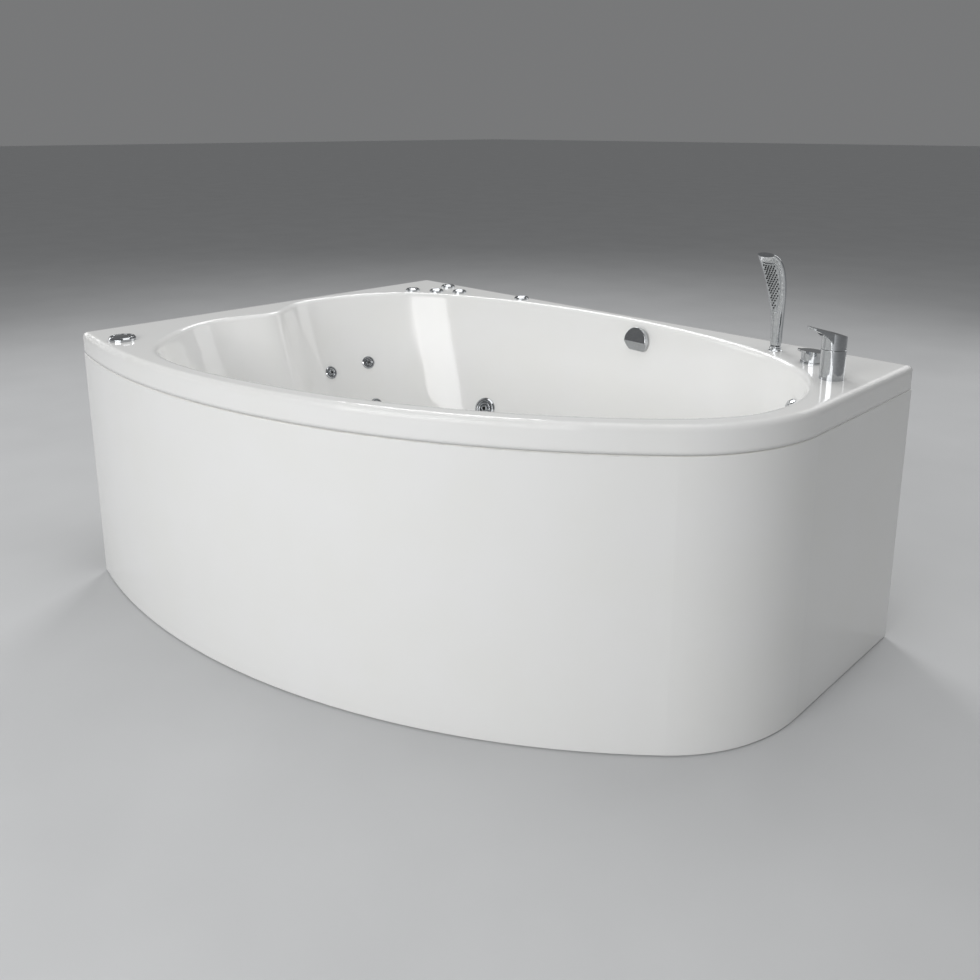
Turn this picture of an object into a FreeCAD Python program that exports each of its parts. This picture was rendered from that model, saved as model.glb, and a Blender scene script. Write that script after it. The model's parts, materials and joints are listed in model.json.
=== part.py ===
"""Asymmetric corner massage bath: acrylic shell on a steel frame, bent apron, deck taps, jet plumbing.

Millimetres, +Z up. The origin lies on the floor, under the middle of the plan's bounding box. The long
straight side (back wall) faces +Y, the short straight side (left wall) faces -X, and the bowed front looks
to -Y and +X.
Plan places are given as (from_left, from_back): distances from the left wall and from the back wall.
"""
import FreeCAD
import Part
import math
import os

Vector = FreeCAD.Vector
ORIGIN = Vector(0, 0, 0)
UP = Vector(0, 0, 1)
DOWN = Vector(0, 0, -1)
TO_FRONT = Vector(0, -1, 0)
TO_BACK = Vector(0, 1, 0)
TO_RIGHT = Vector(1, 0, 0)
FULL_TURN = 360.0

# Plan of the bath
LENGTH = 1680.0            # along the back wall
LEFT_WIDTH = 1200.0        # along the left wall
RIGHT_STRAIGHT = 452.0     # straight part of the right end
FRONT_APEX = 336.0         # from the left wall to the deepest point of the bowed front
CORNER_RADIUS = 404.0      # front-right corner
CORNER_ROUND = 7.0         # small rounding of the three corners that meet the walls

# Heights
RIM_HEIGHT = 684.0         # top of the deck above the ground
FLOOR_LEVEL = 204.0        # basin floor above the ground
SKIRT_DROP = 56.0          # depth of the rim's outer skirt

# Shell
SHELL_WALL = 7.0           # acrylic with its reinforcing layer
SKIRT_WALL = 5.0
EDGE_ROUND = 12.0          # outer edge of the deck, and the lip between deck and basin
FRONT_RIM = 52.0           # deck width along the bowed front
END_RIM = 58.0             # deck width at the right end
BACK_RIM = 44.0            # narrowest deck width along the back wall
REAR_REST_RIM = 52.0       # deck width behind the rear backrest
FRONT_REST_RIM = 112.0     # deck width behind the front backrest
RIDGE_RIM = 138.0          # deck width at the ridge between the two backrests
RIDGE_START = 19.0         # by how much the rim swings in towards the ridge
BACK_SWELL = 15.0          # by how much the back wall's rim swings in beside its middle
FRONT_SWEEP = 120.0        # by how much the rim cuts the front-left corner
REST_LEAN = 388.0          # how far the rear backrest leans in from its rim to the floor
BACK_LEAN = 214.0          # the same for the back wall's side
FRONT_LEAN = 230.0         # for the bowed front
END_LEAN = 210.0           # and for the right end
CONTROL_DECK_LENGTH = 365.0         # corner of the deck with the round controls: along the back wall
CONTROL_DECK_WIDTH = 255.0          # and along the left wall
CONTROL_DECK_SWEEP = 77.0           # by how much the rim swings in there
TAP_DECK_WIDTH = 162.0     # deck corner with the taps: by how much the rim swings in from the right end
TAP_DECK_SWEEP = 47.0      # and nearer to the front
WALL_DRAFT = 0.45          # share of the wall's lean that is a straight slope
FLOOR_CURL = 3.0           # exponent of the curl from wall to floor
CORNER_GUIDE = 23.0        # bearing of the rim's guide in the front-right corner, in degrees from +X in plan
SECTION_LEVELS = (0.0, 0.12, 0.28, 0.45, 0.6, 0.73, 0.83, 0.91, 0.96, 0.99, 0.998, 1.0)  # shares of the depth
RIM_STEPS = 16             # points that are measured round a fitting's rim

# Apron
APRON_WALL = 5.0
APRON_GAP = 1.0            # joint between skirt and apron
APRON_EDGE = 3.0           # rounding of the apron's upper edge
APRON_FLOOR_GAP = 3.0
APRON_FLANGE = 22.0        # inward flanges along the apron's top and bottom
APRON_RIB = 12.0           # depth of the upright stiffening ribs
APRON_RIB_WIDTH = 34.0
APRON_RIB_COUNT = 4

# Frame
BOARD = 16.0               # board under the basin floor
BOARD_CUTOUT = 12.0        # room in the board round the waste
RAIL_WIDTH = 40.0
RAIL_HEIGHT = 25.0
RAIL_WALL = 2.0
POST = 20.0
POST_INSET = 7.0           # posts and rails clear of the skirt and apron
LEFT_RAIL = 130.0          # first cross rail, from the left wall
MIDDLE_RAIL = 120.0        # second cross rail, to the left of the waste
RIGHT_RAIL = 180.0         # last cross rail, from the right end
LONG_RAILS_AT = (470.0, 690.0)
FOOT_INSET = 62.0
PAD_RADIUS = 22.0
PAD_HEIGHT = 14.0
PAD_SOLE = 5.0
PAD_NECK = 4.0             # rubber round the stud's socket
PAD_ROUND = 2.0
STUD_RADIUS = 6.0
STUD_REACH = 14.0          # stud above the rail's lower wall
NUT_ACROSS = 19.0
NUT_HEIGHT = 10.0
NUT_SIDES = 6
CLIP_PLATE = 4.0
BRACKET_PLATE = 3.0        # wall brackets
BRACKET_WIDTH = 70.0
BRACKET_HEIGHT = 56.0
BRACKET_TAB = 18.0
BRACKET_HOLE = 3.5
BRACKET_HOLE_SPACING = 40.0
LEFT_BRACKET = 403.0       # back wall's brackets, from the left wall and from the right end
RIGHT_BRACKET = 420.0

# Clearances
SEAT_GAP = 0.3             # between pieces that seat on curved faces
RUNNING_GAP = 0.05         # round a turning or sliding stem
FREE_GAP = 0.4             # round a moving cap
CUT_MARGIN = 5.0           # how far a cut runs past the face that it opens
TOUCH = 1e-3               # two places nearer than this are one

# Waste and overflow
OVERFLOW_FROM_RIGHT = 717.0
OVERFLOW_DROP = 57.0       # knob's middle below the deck
OVERFLOW_KNOB = 37.5
OVERFLOW_KNOB_DEPTH = 16.0
OVERFLOW_KNOB_ROUND = 2.0
OVERFLOW_CHAMFER_TOP = 3.0          # knob's middle to the upper edge of its slanted lower face
OVERFLOW_CHAMFER_FOOT = 27.0        # knob's middle to the lower edge, at the knob's back
OVERFLOW_STAND_OFF = 4.0
OVERFLOW_SPINDLE = 8.0
OVERFLOW_SPINDLE_STOP = 6.0         # spindle short of the housing's back
OVERFLOW_PASSAGE = 6.0     # water way round the spindle through the wall
OVERFLOW_HOUSING = 27.0
OVERFLOW_HOUSING_DEPTH = 30.0
OVERFLOW_HOUSING_ROUND = 4.0
OVERFLOW_TAIL = 16.0       # outlet below the housing
OVERFLOW_PIPE = 14.0
OVERFLOW_PIPE_LAP = 12.0   # pipe pushed over the outlet
OVERFLOW_BEND = 38.0
PIPE_WALL = 2.0
DRAIN_FROM_BACK = 350.0
DRAIN_FLANGE = 40.0        # radius
DRAIN_SLEEVE = 28.0        # outer radius of the sleeve through the floor
DRAIN_SLEEVE_WALL = 3.0
DRAIN_SLEEVE_DEPTH = 14.0  # sleeve below the floor
DRAIN_PROUD = 3.0
DRAIN_SLOPE = 3.0          # width of the flange's sloped edge
DRAIN_ROUND = 1.5
DRAIN_BODY = 36.0
DRAIN_BODY_WALL = 3.0
DRAIN_BODY_DEPTH = 70.0
DRAIN_COLLAR = 8.0         # collar round the top of the waste's cup
DRAIN_COLLAR_DEPTH = 6.0
DRAIN_SEAT_DEPTH = 10.0    # bearing of the sleeve in the cup
DRAIN_FUNNEL = 8.0         # fall of the cup's conical bottom
TAIL_RADIUS = 18.0         # outlet below the cup
TAIL_WALL = 2.0
SIDE_INLET_DROP = 37.0     # overflow inlet below the cup's top
SIDE_INLET_REACH = 14.0
SIDE_INLET_WALL = 4.0
SIDE_INLET_LAP = 2.0       # pipe inside the cup's wall
PLUG_RADIUS = 31.0
PLUG_HEIGHT = 6.0
PLUG_EDGE = 3.0            # height of the plug's upright edge
PLUG_SLOPE = 1.0
PLUG_ROUND = 1.2
PLUG_CROWN = 15.0          # radius of the plug's flat crown
PLUG_CROWN_ROUND = 8.0
PLUG_STEM = 6.0
GUIDE_DROP = 30.0          # top of the plug's guide below the cup's top
GUIDE_LENGTH = 14.0
GUIDE_BEARING = 10.0       # stem inside the guide
GUIDE_WALL = 4.0
GUIDE_ARM = 4.0            # width of the guide's three arms
GUIDE_ARM_HEIGHT = 8.0
GUIDE_ARMS_AT = (30.0, 150.0, 270.0)
TRAP_RADIUS = 42.0
TRAP_HEIGHT = 84.0
TRAP_WALL = 3.0
TRAP_ROUND = 10.0          # foot of the bottle
TRAP_SHOULDER = 10.0       # fall of the bottle's shoulder
TRAP_SHOULDER_ROUND = 5.0
TRAP_NECK = 5.0            # wall of the bottle's neck
TRAP_NECK_DEPTH = 8.0
WASTE_RADIUS = 25.0        # outlet spigot
WASTE_SPIGOT = 50.0        # free length of the spigot
WASTE_COLLAR = 6.0         # collar round the root of the spigot
WASTE_COLLAR_LENGTH = 8.0

# Deck taps: places are from the right end and from the back wall
TAP_FACING = 235.0         # direction of the levers in plan, degrees from +X
MIXER_FROM_RIGHT = 81.0
MIXER_FROM_BACK = 242.0
MIXER_RADIUS = 26.0
MIXER_EDGE = 1.2
MIXER_PARTING = 66.0       # deck to the lever cap
MIXER_SHOULDER = 92.0      # deck to the back of the lever cap
LEVER_REACH = 61.0
LEVER_TOP = 117.0
LEVER_TIP = 5.0            # thickness of the tip
LEVER_TIP_WIDTH = 34.0
LEVER_TRIM = 1.0           # how far a lever's outline runs past its tip and back
LEVER_LIFT = 20.0          # degrees
LIFT_MARGIN = 2.0          # degrees of relief past the lift
TONGUE_ROOT = 0.5          # where a lever's tongue leaves its cap, as a share of the cap's radius
TONGUE_FLANK = 0.92        # half width of the tongue's root, as a share of the cap's radius
TONGUE_NOSE = 8.0          # depth of the tongue's rounded nose
THROAT_RISE = 0.45         # throat under the tongue, as a share of the cap's height
HOLLOW_AT = 0.68           # middle of the hollow under the tongue, as a share of its reach
HOLLOW_DROP = 0.13         # how far the hollow falls there, as a share of the lever's height
CROWN_AT = 0.22            # middle of the crown's curve, as a share of the reach
CROWN_RISE = 0.42          # its height there, as a share of the crown's rise
MIXER_STEM = 12.0
MIXER_STEM_DEPTH = 24.0    # stem below the parting line
MIXER_STEM_RISE = 12.0     # stem above the parting line
LEVER_ROOM_TOP = 5.5       # room round the stem in the lever cap
LEVER_ROOM_BACK = 4.0
LEVER_ROOM_FRONT = 6.0
LEVER_ROOM_SIDE = 1.0
LEVER_PIN = 2.0
LEVER_PIN_HALF = 21.0
LEVER_PIN_RISE = 7.0       # pin above the parting line
LEVER_PIN_BACK = 6.0       # pin behind the mixer's axis
TAP_SHANK = 17.0
TAP_SHANK_DEPTH = 40.0
TAP_NUT = 27.0
TAP_NUT_HEIGHT = 14.0
NUT_FLANGE = 4.0           # width and height of a ring nut's flange
VALVE_BLOCK = 22.0
VALVE_BLOCK_HEIGHT = 36.0
MANIFOLD = (62.0, 30.0, 26.0)       # block under the mixer that carries the inlets: width, depth, height
INLET_RADIUS = 10.48       # half-inch pipe thread
INLET_LENGTH = 16.0
INLET_SPACING = 38.0
INLET_WALL = 3.0
LINK_PIPE = 8.0
LINK_DROP = 13.0           # link pipe below the top of the valve blocks
DIVERTER_FROM_RIGHT = 173.0
DIVERTER_FROM_BACK = 140.0
DIVERTER_RADIUS = 26.5
DIVERTER_ROSE = 4.0
DIVERTER_ROSE_RIM = 1.5    # rose beyond the knob
DIVERTER_ROSE_ROUND = 1.0
DIVERTER_SHOULDER = 25.0
DIVERTER_REACH = 37.0
DIVERTER_TOP = 33.0
DIVERTER_TIP = 4.0
DIVERTER_TIP_WIDTH = 34.0
DIVERTER_STEM = 6.0
DIVERTER_STEM_DEPTH = 24.0
FILLER_FROM_RIGHT = 150.0
FILLER_FROM_BACK = 262.0
FILLER_DROP = 88.0         # filler's middle below the deck
FILLER_RADIUS = 30.0
FILLER_BODY = 22.0
FILLER_BORE = 12.0
FILLER_MOUTH = 16.0
FILLER_MOUTH_FLOOR = 4.0
FILLER_PROUD = 11.0
FILLER_EDGE = 4.0          # height of the filler's upright edge
FILLER_SLOPE = 6.0         # width of its sloped rim
FILLER_ROUND = 1.5
FILLER_CUP_WALL = 4.0
FILLER_CUP_DEPTH = 24.0
FILLER_CUP_ROUND = 3.0

# Hand shower: its place is from the right end and from the back wall
SHOWER_FROM_RIGHT = 293.0
SHOWER_FROM_BACK = 91.0
SHOWER_FACING = 266.0
SHOWER_SLEEVE = 14.0
SHOWER_SLEEVE_RISE = 7.0
SHOWER_SLEEVE_STEP = 2.0   # sleeve's foot ring beyond it, and its shank inside it
SHOWER_SLEEVE_ROUND = 1.0
CONE_RADIUS = 10.2
CONE_BORE = 4.0
CONE_HEAD = 12.5
CONE_HEAD_HEIGHT = 6.0
CONE_HEAD_EDGE = 4.0       # height of the head's upright edge
CONE_HEAD_ROUND = 1.0
CONE_NOSE = 6.0            # radius of the head's flat top
CONE_LENGTH = 42.0
# Hand shower sections: height, forward reach, forward tilt in degrees, width, thickness
SHOWER_SECTIONS = (
    (0.0, 0.0, 0.0, 27.0, 26.0),
    (38.0, 0.0, 1.0, 29.0, 26.0),
    (84.0, 3.0, 6.0, 37.0, 26.0),
    (130.0, 11.0, 14.0, 48.0, 26.0),
    (176.0, 27.0, 26.0, 57.0, 24.0),
    (210.0, 49.0, 44.0, 57.0, 20.0),
    (224.0, 68.0, 60.0, 44.0, 12.0),
)
SPRAY_SECTIONS = slice(2, 6)        # those that carry the spray pad
SPRAY_WIDTHS = (0.4, 0.66, 0.74, 0.66)      # the pad's width there, as shares of the hand shower's
SPRAY_THICKNESS = 0.5      # its thickness, as a share of the hand shower's
SPRAY_FORWARD = 0.33       # its middle ahead of the hand shower's, as a share of the thickness

# Massage system: the jets' and the intake's plan places are shares of the length and of the left width
JETS_AT = ((0.2845, 0.16), (0.768, 0.146), (0.387, 0.88), (0.6845, 0.755), (0.9155, 0.317), (0.902, 0.467))
JET_RISES = (0.319, 0.319, 0.319, 0.319, 0.283, 0.283)      # above the basin floor, as shares of its depth
JET_RADIUS = 33.5
JET_BORE = 20.5
JET_NECK_WALL = 3.0
JET_PROUD = 7.0
JET_EDGE = 3.0             # height of the rim's upright edge
JET_SLOPE = 5.0            # width of the rim's sloped face
JET_LAND = 3.0             # chamfer round the nozzle
JET_ROUNDS = (1.2, 2.0, 1.0)        # rim's edge, crest and inner edge
NOZZLE_DEPTH = 8.0
NOZZLE_RISE = 1.5          # grip ring above the rim
NOZZLE_ROUND = 1.5
NOZZLE_OUTLET = 5.5
NOZZLE_OUTLET_WALL = 4.0
NOZZLE_OUTLET_RISE = 3.0   # outlet above the rim
NOZZLE_OUTLET_ROUND = 1.0
NOZZLE_DISH = 3.0          # floor of the dish between grip ring and outlet
NOZZLE_DISH_SLOPE = 3.5    # width of the dish's sloped side
NOZZLE_GRIP = 5.0          # width of the grip ring
NOZZLE_NOTCHES = 4
NOZZLE_NOTCH = 3.0         # radius of the finger notches
NOZZLE_NOTCH_FLOOR = 4.0
JET_BODY = 28.5
JET_BODY_DEPTH = 26.0
JET_BODY_WALL = 4.0
JET_BODY_ROUND = 4.0
JET_BODY_TAPER = 4.0
JET_FLANGE = 8.0           # depth of the flange that clamps the wall
JET_FLANGE_RIM = 4.0
JET_TAIL = 8.0
JET_TAIL_ROUND = 1.0
BACK_JETS_AT = ((165.0, 514.0), (170.0, 388.0), (225.0, 405.0), (225.0, 540.0))
BACK_JET_RISES = (277.0, 283.0, 161.0, 156.0)       # above the basin floor
BACK_JET_RADIUS = 20.0
BACK_JET_NECK = 11.0
BACK_JET_BORE = 4.0
BACK_JET_OUTLET = 7.5
BACK_JET_RISE = 6.0
BACK_JET_RIM = 4.5         # height of the rim
BACK_JET_EDGE = 2.0        # height of its upright edge
BACK_JET_SLOPE = 3.0       # width of its sloped face
BACK_JET_DISH = 12.0       # radius of the dish round the outlet
BACK_JET_DISH_SLOPE = 2.5
BACK_JET_DISH_FLOOR = 2.5
BACK_JET_ROUNDS = (1.0, 1.2, 0.8)   # rim's edge, crest and inner edge
BACK_JET_BODY = 15.0
BACK_JET_BODY_RIM = 4.0    # flange beyond the body
BACK_JET_BODY_ROUND = 3.0
BACK_JET_FLANGE = 6.0
BACK_JET_BODY_DEPTH = 24.0
BACK_JET_TAIL = 8.0
SUCTION_AT = (0.244, 0.842)
SUCTION_RISE = 0.2         # above the basin floor, as a share of its depth
SUCTION_RADIUS = 48.0
SUCTION_NECK = 30.0
SUCTION_WALL = 3.0
SUCTION_BODY_DEPTH = 40.0
SUCTION_BODY_FLOOR = 4.0
SUCTION_BODY_ROUND = 4.0
SUCTION_FLANGE = 5.0
SUCTION_TAIL = 14.0
SUCTION_DOME = 11.0        # height of the grille's middle
SUCTION_SKIN = 5.0         # thickness of the grille
SUCTION_EDGE = 3.0
SUCTION_SHOULDER = 9.0     # height where the dome starts
SUCTION_SLOPE = 12.0       # width of the sloped rim
SUCTION_ROUNDS = (1.2, 4.0)
SUCTION_RIM = 10.0         # width of the grille's seat
SUCTION_SLOTS = 12
SUCTION_SLOT = 4.0
SUCTION_SLOT_START = 13.5
SUCTION_SLOT_LENGTH = 21.5
RING_INSET = 70.0          # ring mains along the two walls
FRONT_RING_INSET = 58.0    # ring mains behind the apron
RING_BEND = 70.0
RING_START = 90.0          # right-hand end of the ring, in front of the corner's centre
RING_STOP = 90.0           # front end of the ring, to the right of the corner's centre
WATER_RING = 14.0
WATER_RING_SHARE = 0.294   # level of the water main, as a share of the basin's depth
AIR_RING = 8.0
AIR_RING_SHARE = 0.471
JET_HOSE = 9.0
AIR_HOSE = 5.0
PUMP_RADIUS = 70.0
PUMP_WET_END = 90.0
PUMP_VOLUTE = 46.0         # length of the volute's drum
PUMP_CONE = 16.0           # length of its conical front
PUMP_CONE_FALL = 26.0      # by how much the cone narrows
PUMP_ROUNDS = (4.0, 14.0, 8.0)      # volute's back, front and cone
PUMP_INLET_WALL = 3.0
PUMP_INLET_SOCKET = 24.0
PUMP_INLET_LAP = 22.0      # suction pipe inside the socket
PUMP_RISER = 23.0          # riser in front of the volute's back
PUMP_RISER_BEND = 18.0
PUMP_RING_GAP = 2.0        # between the volute and the water main
PUMP_FRONT = 740.0         # from the back wall to the pump's inlet
PUMP_PLATE = 4.0
PUMP_PLATE_HALF = 56.0
PUMP_PLATE_FRONT = 40.0    # plate in front of the volute's back
PUMP_LIFT = 2.0            # volute above the plate
MOTOR_RADIUS = 50.0
MOTOR_LENGTH = 230.0
MOTOR_COVER = 50.0         # length of the fan cover
MOTOR_COVER_ROUND = 10.0
MOTOR_RIBS = 18
MOTOR_RIB = 2.5
MOTOR_RIB_DEPTH = 5.0
MOTOR_RIB_END = 6.0        # plain motor at both ends of the ribs
MOTOR_SKIN = 6.0           # from the fan cover's radius to the plain motor
TERMINAL_BOX = (18.0, 70.0, 44.0)   # depth beyond the fan cover, length, height
TERMINAL_BOX_ROUND = 4.0
TERMINAL_BOX_BACK = 90.0   # its middle behind the volute
SADDLE = 25.0              # length of a saddle along the pump
SADDLE_INSET = 6.0
SADDLE_BACK = 10.0         # rear saddle in front of the motor's end
SADDLE_DROP = 30.0         # saddles end below the pump's axis
SUCTION_PIPE = 22.0
SUCTION_BEND = 45.0
SUCTION_RUN_OUT = 78.0     # straight pipe behind the intake
CONTROL_BOX = (90.0, 150.0, 72.0)
CONTROL_BOX_BACK = 190.0
CONTROL_BOX_ROUND = 5.0
CONTROL_LID = 16.5         # lid's height
CONTROL_LID_LINE = 1.5     # width and depth of the line round it
GLAND_RADIUS = 9.0
GLAND_LENGTH = 14.0
GLAND_SPACING = 40.0

# Deck controls
CONTROL_RADIUS = 22.5
CONTROL_BORE = 15.4
CONTROL_STEM = 10.0        # bore of the shank
CONTROL_STEM_DEPTH = 20.0
CONTROL_SHANK = 13.0
CONTROL_SHANK_DEPTH = 40.0
CONTROL_RISE = 7.5
CONTROL_SLOPE = 3.5        # width of the bezel's sloped rim
CONTROL_EDGE = 0.55        # upright share of the bezel's edge
CONTROL_ROUNDS = (1.5, 1.2, 0.6)    # bezel's edge, crest and inner edge
CONTROL_FLOOR = 1.5        # bezel's floor under the cap
CONTROL_NUT_INSET = 2.0
BUTTON_TRAVEL = 3.0
BUTTON_EDGE = 0.5          # button's edge below the bezel's crest
BUTTON_DOME = 1.6          # button's crown above it
BUTTON_ROUNDS = (1.0, 12.0)
BUTTON_CROWN = 0.5         # flat crown, as a share of the cap's radius
GRIP_ROUND = 1.5           # edge of an air regulator's cap
GRIP_BAR = 5.0             # width of its bar
GRIP_BAR_RISE = 3.0
GRIP_BAR_SINK = 0.5
GRIP_BAR_HALF = 0.75       # its half length, as a share of the cap's radius
GRIP_BAR_ROUND = 1.2
GRIP_BEARING = 40.0
PUMP_BUTTON_AT = (138.0, 182.0)
BLOWER_BUTTON_AT = (172.0, 56.0)
REGULATORS_AT = ((208.0, 140.0), (273.0, 98.0), (494.0, 38.0))
MAIN_CONTROL_FROM_LEFT = 168.0
MAIN_CONTROL_INSET = 35.0  # behind the front end of the left wall
MAIN_CONTROL_RADIUS = 33.0
MAIN_CONTROL_BORE = 25.0
MAIN_CONTROL_SHANK = 23.0
MAIN_CONTROL_STEM = 18.0
MAIN_CONTROL_RISE = 10.0


def bow_circle():
    """Circle of the front bow: it starts at the left wall, is deepest at the apex and runs into the corner.

    Gives its centre's distance in front of the back wall, and its radius.
    """
    run = LENGTH - CORNER_RADIUS - FRONT_APEX
    fall = (LEFT_WIDTH - RIGHT_STRAIGHT) / CORNER_RADIUS
    spread = FRONT_APEX ** 2 + LEFT_WIDTH ** 2
    radius_at_wall = (spread - run ** 2 - RIGHT_STRAIGHT ** 2 + CORNER_RADIUS ** 2) / (2 * CORNER_RADIUS)
    square = 1 - fall ** 2
    half_linear = radius_at_wall * fall - LEFT_WIDTH
    root = math.sqrt(half_linear ** 2 - square * (spread - radius_at_wall ** 2))
    centre = (root - half_linear) / square
    return centre, radius_at_wall - fall * centre


# Levels and places that follow from the sizes
BOW_CENTRE, FRONT_RADIUS = bow_circle()
DEPTH = BOW_CENTRE + FRONT_RADIUS
FRONT_CENTRE = (FRONT_APEX, BOW_CENTRE)
CORNER_CENTRE = (LENGTH - CORNER_RADIUS, RIGHT_STRAIGHT)
BASIN_DEPTH = RIM_HEIGHT - FLOOR_LEVEL
DECK_UNDERSIDE = RIM_HEIGHT - SHELL_WALL
SKIRT_BOTTOM = RIM_HEIGHT - SKIRT_DROP
APRON_TOP = SKIRT_BOTTOM - APRON_GAP
FRONT_POST_TOP = APRON_TOP - APRON_WALL - CLIP_PLATE
BOARD_TOP = FLOOR_LEVEL - SHELL_WALL
LONG_RAIL_TOP = BOARD_TOP - BOARD
CROSS_RAIL_TOP = LONG_RAIL_TOP - RAIL_HEIGHT
CROSS_RAIL_BOTTOM = CROSS_RAIL_TOP - RAIL_HEIGHT
DRAIN_BODY_BOTTOM = BOARD_TOP - DRAIN_BODY_DEPTH
SIDE_INLET_LEVEL = BOARD_TOP - SIDE_INLET_DROP
GUIDE_TOP = BOARD_TOP - GUIDE_DROP
TRAP_TOP = DRAIN_BODY_BOTTOM
WATER_RING_LEVEL = FLOOR_LEVEL + BASIN_DEPTH * WATER_RING_SHARE
AIR_RING_LEVEL = FLOOR_LEVEL + BASIN_DEPTH * AIR_RING_SHARE
SHANK_END = -SHELL_WALL - TAP_SHANK_DEPTH
PUMP_AXIS_LEVEL = LONG_RAIL_TOP + PUMP_PLATE + PUMP_LIFT + PUMP_RADIUS
PUMP_FROM_LEFT = RING_INSET + WATER_RING + PUMP_RING_GAP + PUMP_RADIUS
PUMP_BACK = PUMP_FRONT - PUMP_WET_END
MIXER_AT = (LENGTH - MIXER_FROM_RIGHT, MIXER_FROM_BACK)
DIVERTER_AT = (LENGTH - DIVERTER_FROM_RIGHT, DIVERTER_FROM_BACK)
SHOWER_AT = (LENGTH - SHOWER_FROM_RIGHT, SHOWER_FROM_BACK)
MAIN_CONTROL_AT = (MAIN_CONTROL_FROM_LEFT, LEFT_WIDTH - MAIN_CONTROL_INSET)
CONTROLS_AT = (PUMP_BUTTON_AT, BLOWER_BUTTON_AT) + REGULATORS_AT


def spot(from_left, from_back, z=0.0):
    """A place in the model's frame from its distances to the two walls."""
    return Vector(from_left - LENGTH / 2, DEPTH / 2 - from_back, z)


def deck(place, height=0.0):
    """A place on the deck, or a height above it."""
    return spot(place[0], place[1], RIM_HEIGHT + height)


def front_edge(from_left, inset=0.0):
    """Distance from the back wall to the bowed front and its corner, or to a line inset from them."""
    run, rise = CORNER_CENTRE[0] - FRONT_APEX, CORNER_CENTRE[1] - BOW_CENTRE
    tangent_left = CORNER_CENTRE[0] + (CORNER_RADIUS - inset) * run / math.hypot(run, rise)
    if from_left < tangent_left:
        return BOW_CENTRE + math.sqrt((FRONT_RADIUS - inset) ** 2 - (from_left - FRONT_APEX) ** 2)
    return RIGHT_STRAIGHT + math.sqrt((CORNER_RADIUS - inset) ** 2 - (from_left - CORNER_CENTRE[0]) ** 2)


def compass(degrees):
    """Level unit vector, in degrees from +X."""
    return Vector(math.cos(math.radians(degrees)), math.sin(math.radians(degrees)), 0)


def bearing(a, b):
    """Direction from one place to another in plan, in degrees from +X."""
    return math.degrees(math.atan2(b.y - a.y, b.x - a.x))


def line(a, b):
    return Part.LineSegment(a, b).toShape()


def arc(a, middle, b):
    return Part.Arc(a, middle, b).toShape()


def level_arc(centre, radius, start, end):
    """Arc about an upright axis between two bearings."""
    points = [centre + compass(angle) * radius for angle in (start, (start + end) / 2, end)]
    return arc(*points)


def front_edges(inset, z, right_start, left_end):
    """The visible front, inset: down the right end from right_start, round the corner, along to left_end."""
    corner = spot(*CORNER_CENTRE, z)
    bow = spot(*FRONT_CENTRE, z)
    tangent = bearing(bow, corner)
    finish = bearing(bow, spot(left_end, front_edge(left_end, inset), z))
    return [
        line(spot(LENGTH - inset, right_start, z), spot(LENGTH - inset, RIGHT_STRAIGHT, z)),
        level_arc(corner, CORNER_RADIUS - inset, 0, tangent),
        level_arc(bow, FRONT_RADIUS - inset, tangent, finish),
    ]


def ends(edges):
    """First and last point of a run of edges."""
    first, last = edges[0], edges[-1]
    return first.valueAt(first.FirstParameter), last.valueAt(last.LastParameter)


def outline_face(inset, z):
    """The whole plan as a face, inset from the outer edge."""
    edges = front_edges(inset, z, inset, inset)
    start, finish = ends(edges)
    rear = spot(inset, inset, z)
    return Part.Face(Part.Wire(edges + [line(finish, rear), line(rear, start)]))


def front_band(outer_inset, inner_inset, z, height):
    """Upright wall that follows the visible front between two insets, from wall to wall."""
    outer = front_edges(outer_inset, z, 0, 0)
    inner = front_edges(inner_inset, z, 0, 0)
    outer_start, outer_end = ends(outer)
    inner_start, inner_end = ends(inner)
    closing = [line(outer_end, inner_end), line(inner_start, outer_start)]
    return Part.Face(Part.Wire(Part.__sortEdges__(outer + inner + closing))).extrude(UP * height)


def is_upright(edge):
    return abs(edge.tangentAt(edge.FirstParameter).dot(UP)) > 1 - TOUCH


def wall_corner_edges(solid):
    """Upright edges at the three corners that meet the walls."""
    corners = (spot(0, 0), spot(LENGTH, 0), spot(0, LEFT_WIDTH))
    picked = []
    for edge in solid.Edges:
        foot = edge.Vertexes[0].Point
        foot.z = 0
        nearest = min(foot.distanceToPoint(corner) for corner in corners)
        if is_upright(edge) and nearest < CORNER_ROUND + SKIRT_WALL:
            picked.append(edge)
    return picked


def plan_prism(inset, z, height, corner_round):
    """Prism over the plan with its three wall corners rounded."""
    solid = outline_face(inset, z).extrude(UP * height)
    return solid.makeFillet(corner_round, wall_corner_edges(solid))


def placed(shape, base, axis=UP):
    """A shape made about +Z at the origin, carried to a base point and an axis."""
    moved = shape.copy()
    moved.Placement = FreeCAD.Placement(base, FreeCAD.Rotation(UP, axis))
    return moved


def faced(shape, base, facing):
    """A shape made about the origin towards +X, carried to a base point and turned to a bearing."""
    moved = shape.copy()
    moved.Placement = FreeCAD.Placement(base, FreeCAD.Rotation(UP, facing))
    return moved


def bend(before, here, after, radius):
    """Tangent arc that rounds a corner: its start, middle and end."""
    to_before = (before - here).normalize()
    to_after = (after - here).normalize()
    half = to_before.getAngle(to_after) / 2
    reach = radius / math.tan(half)
    inward = (to_before + to_after).normalize()
    middle = here + inward * (radius / math.sin(half) - radius)
    return here + to_before * reach, middle, here + to_after * reach


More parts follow.
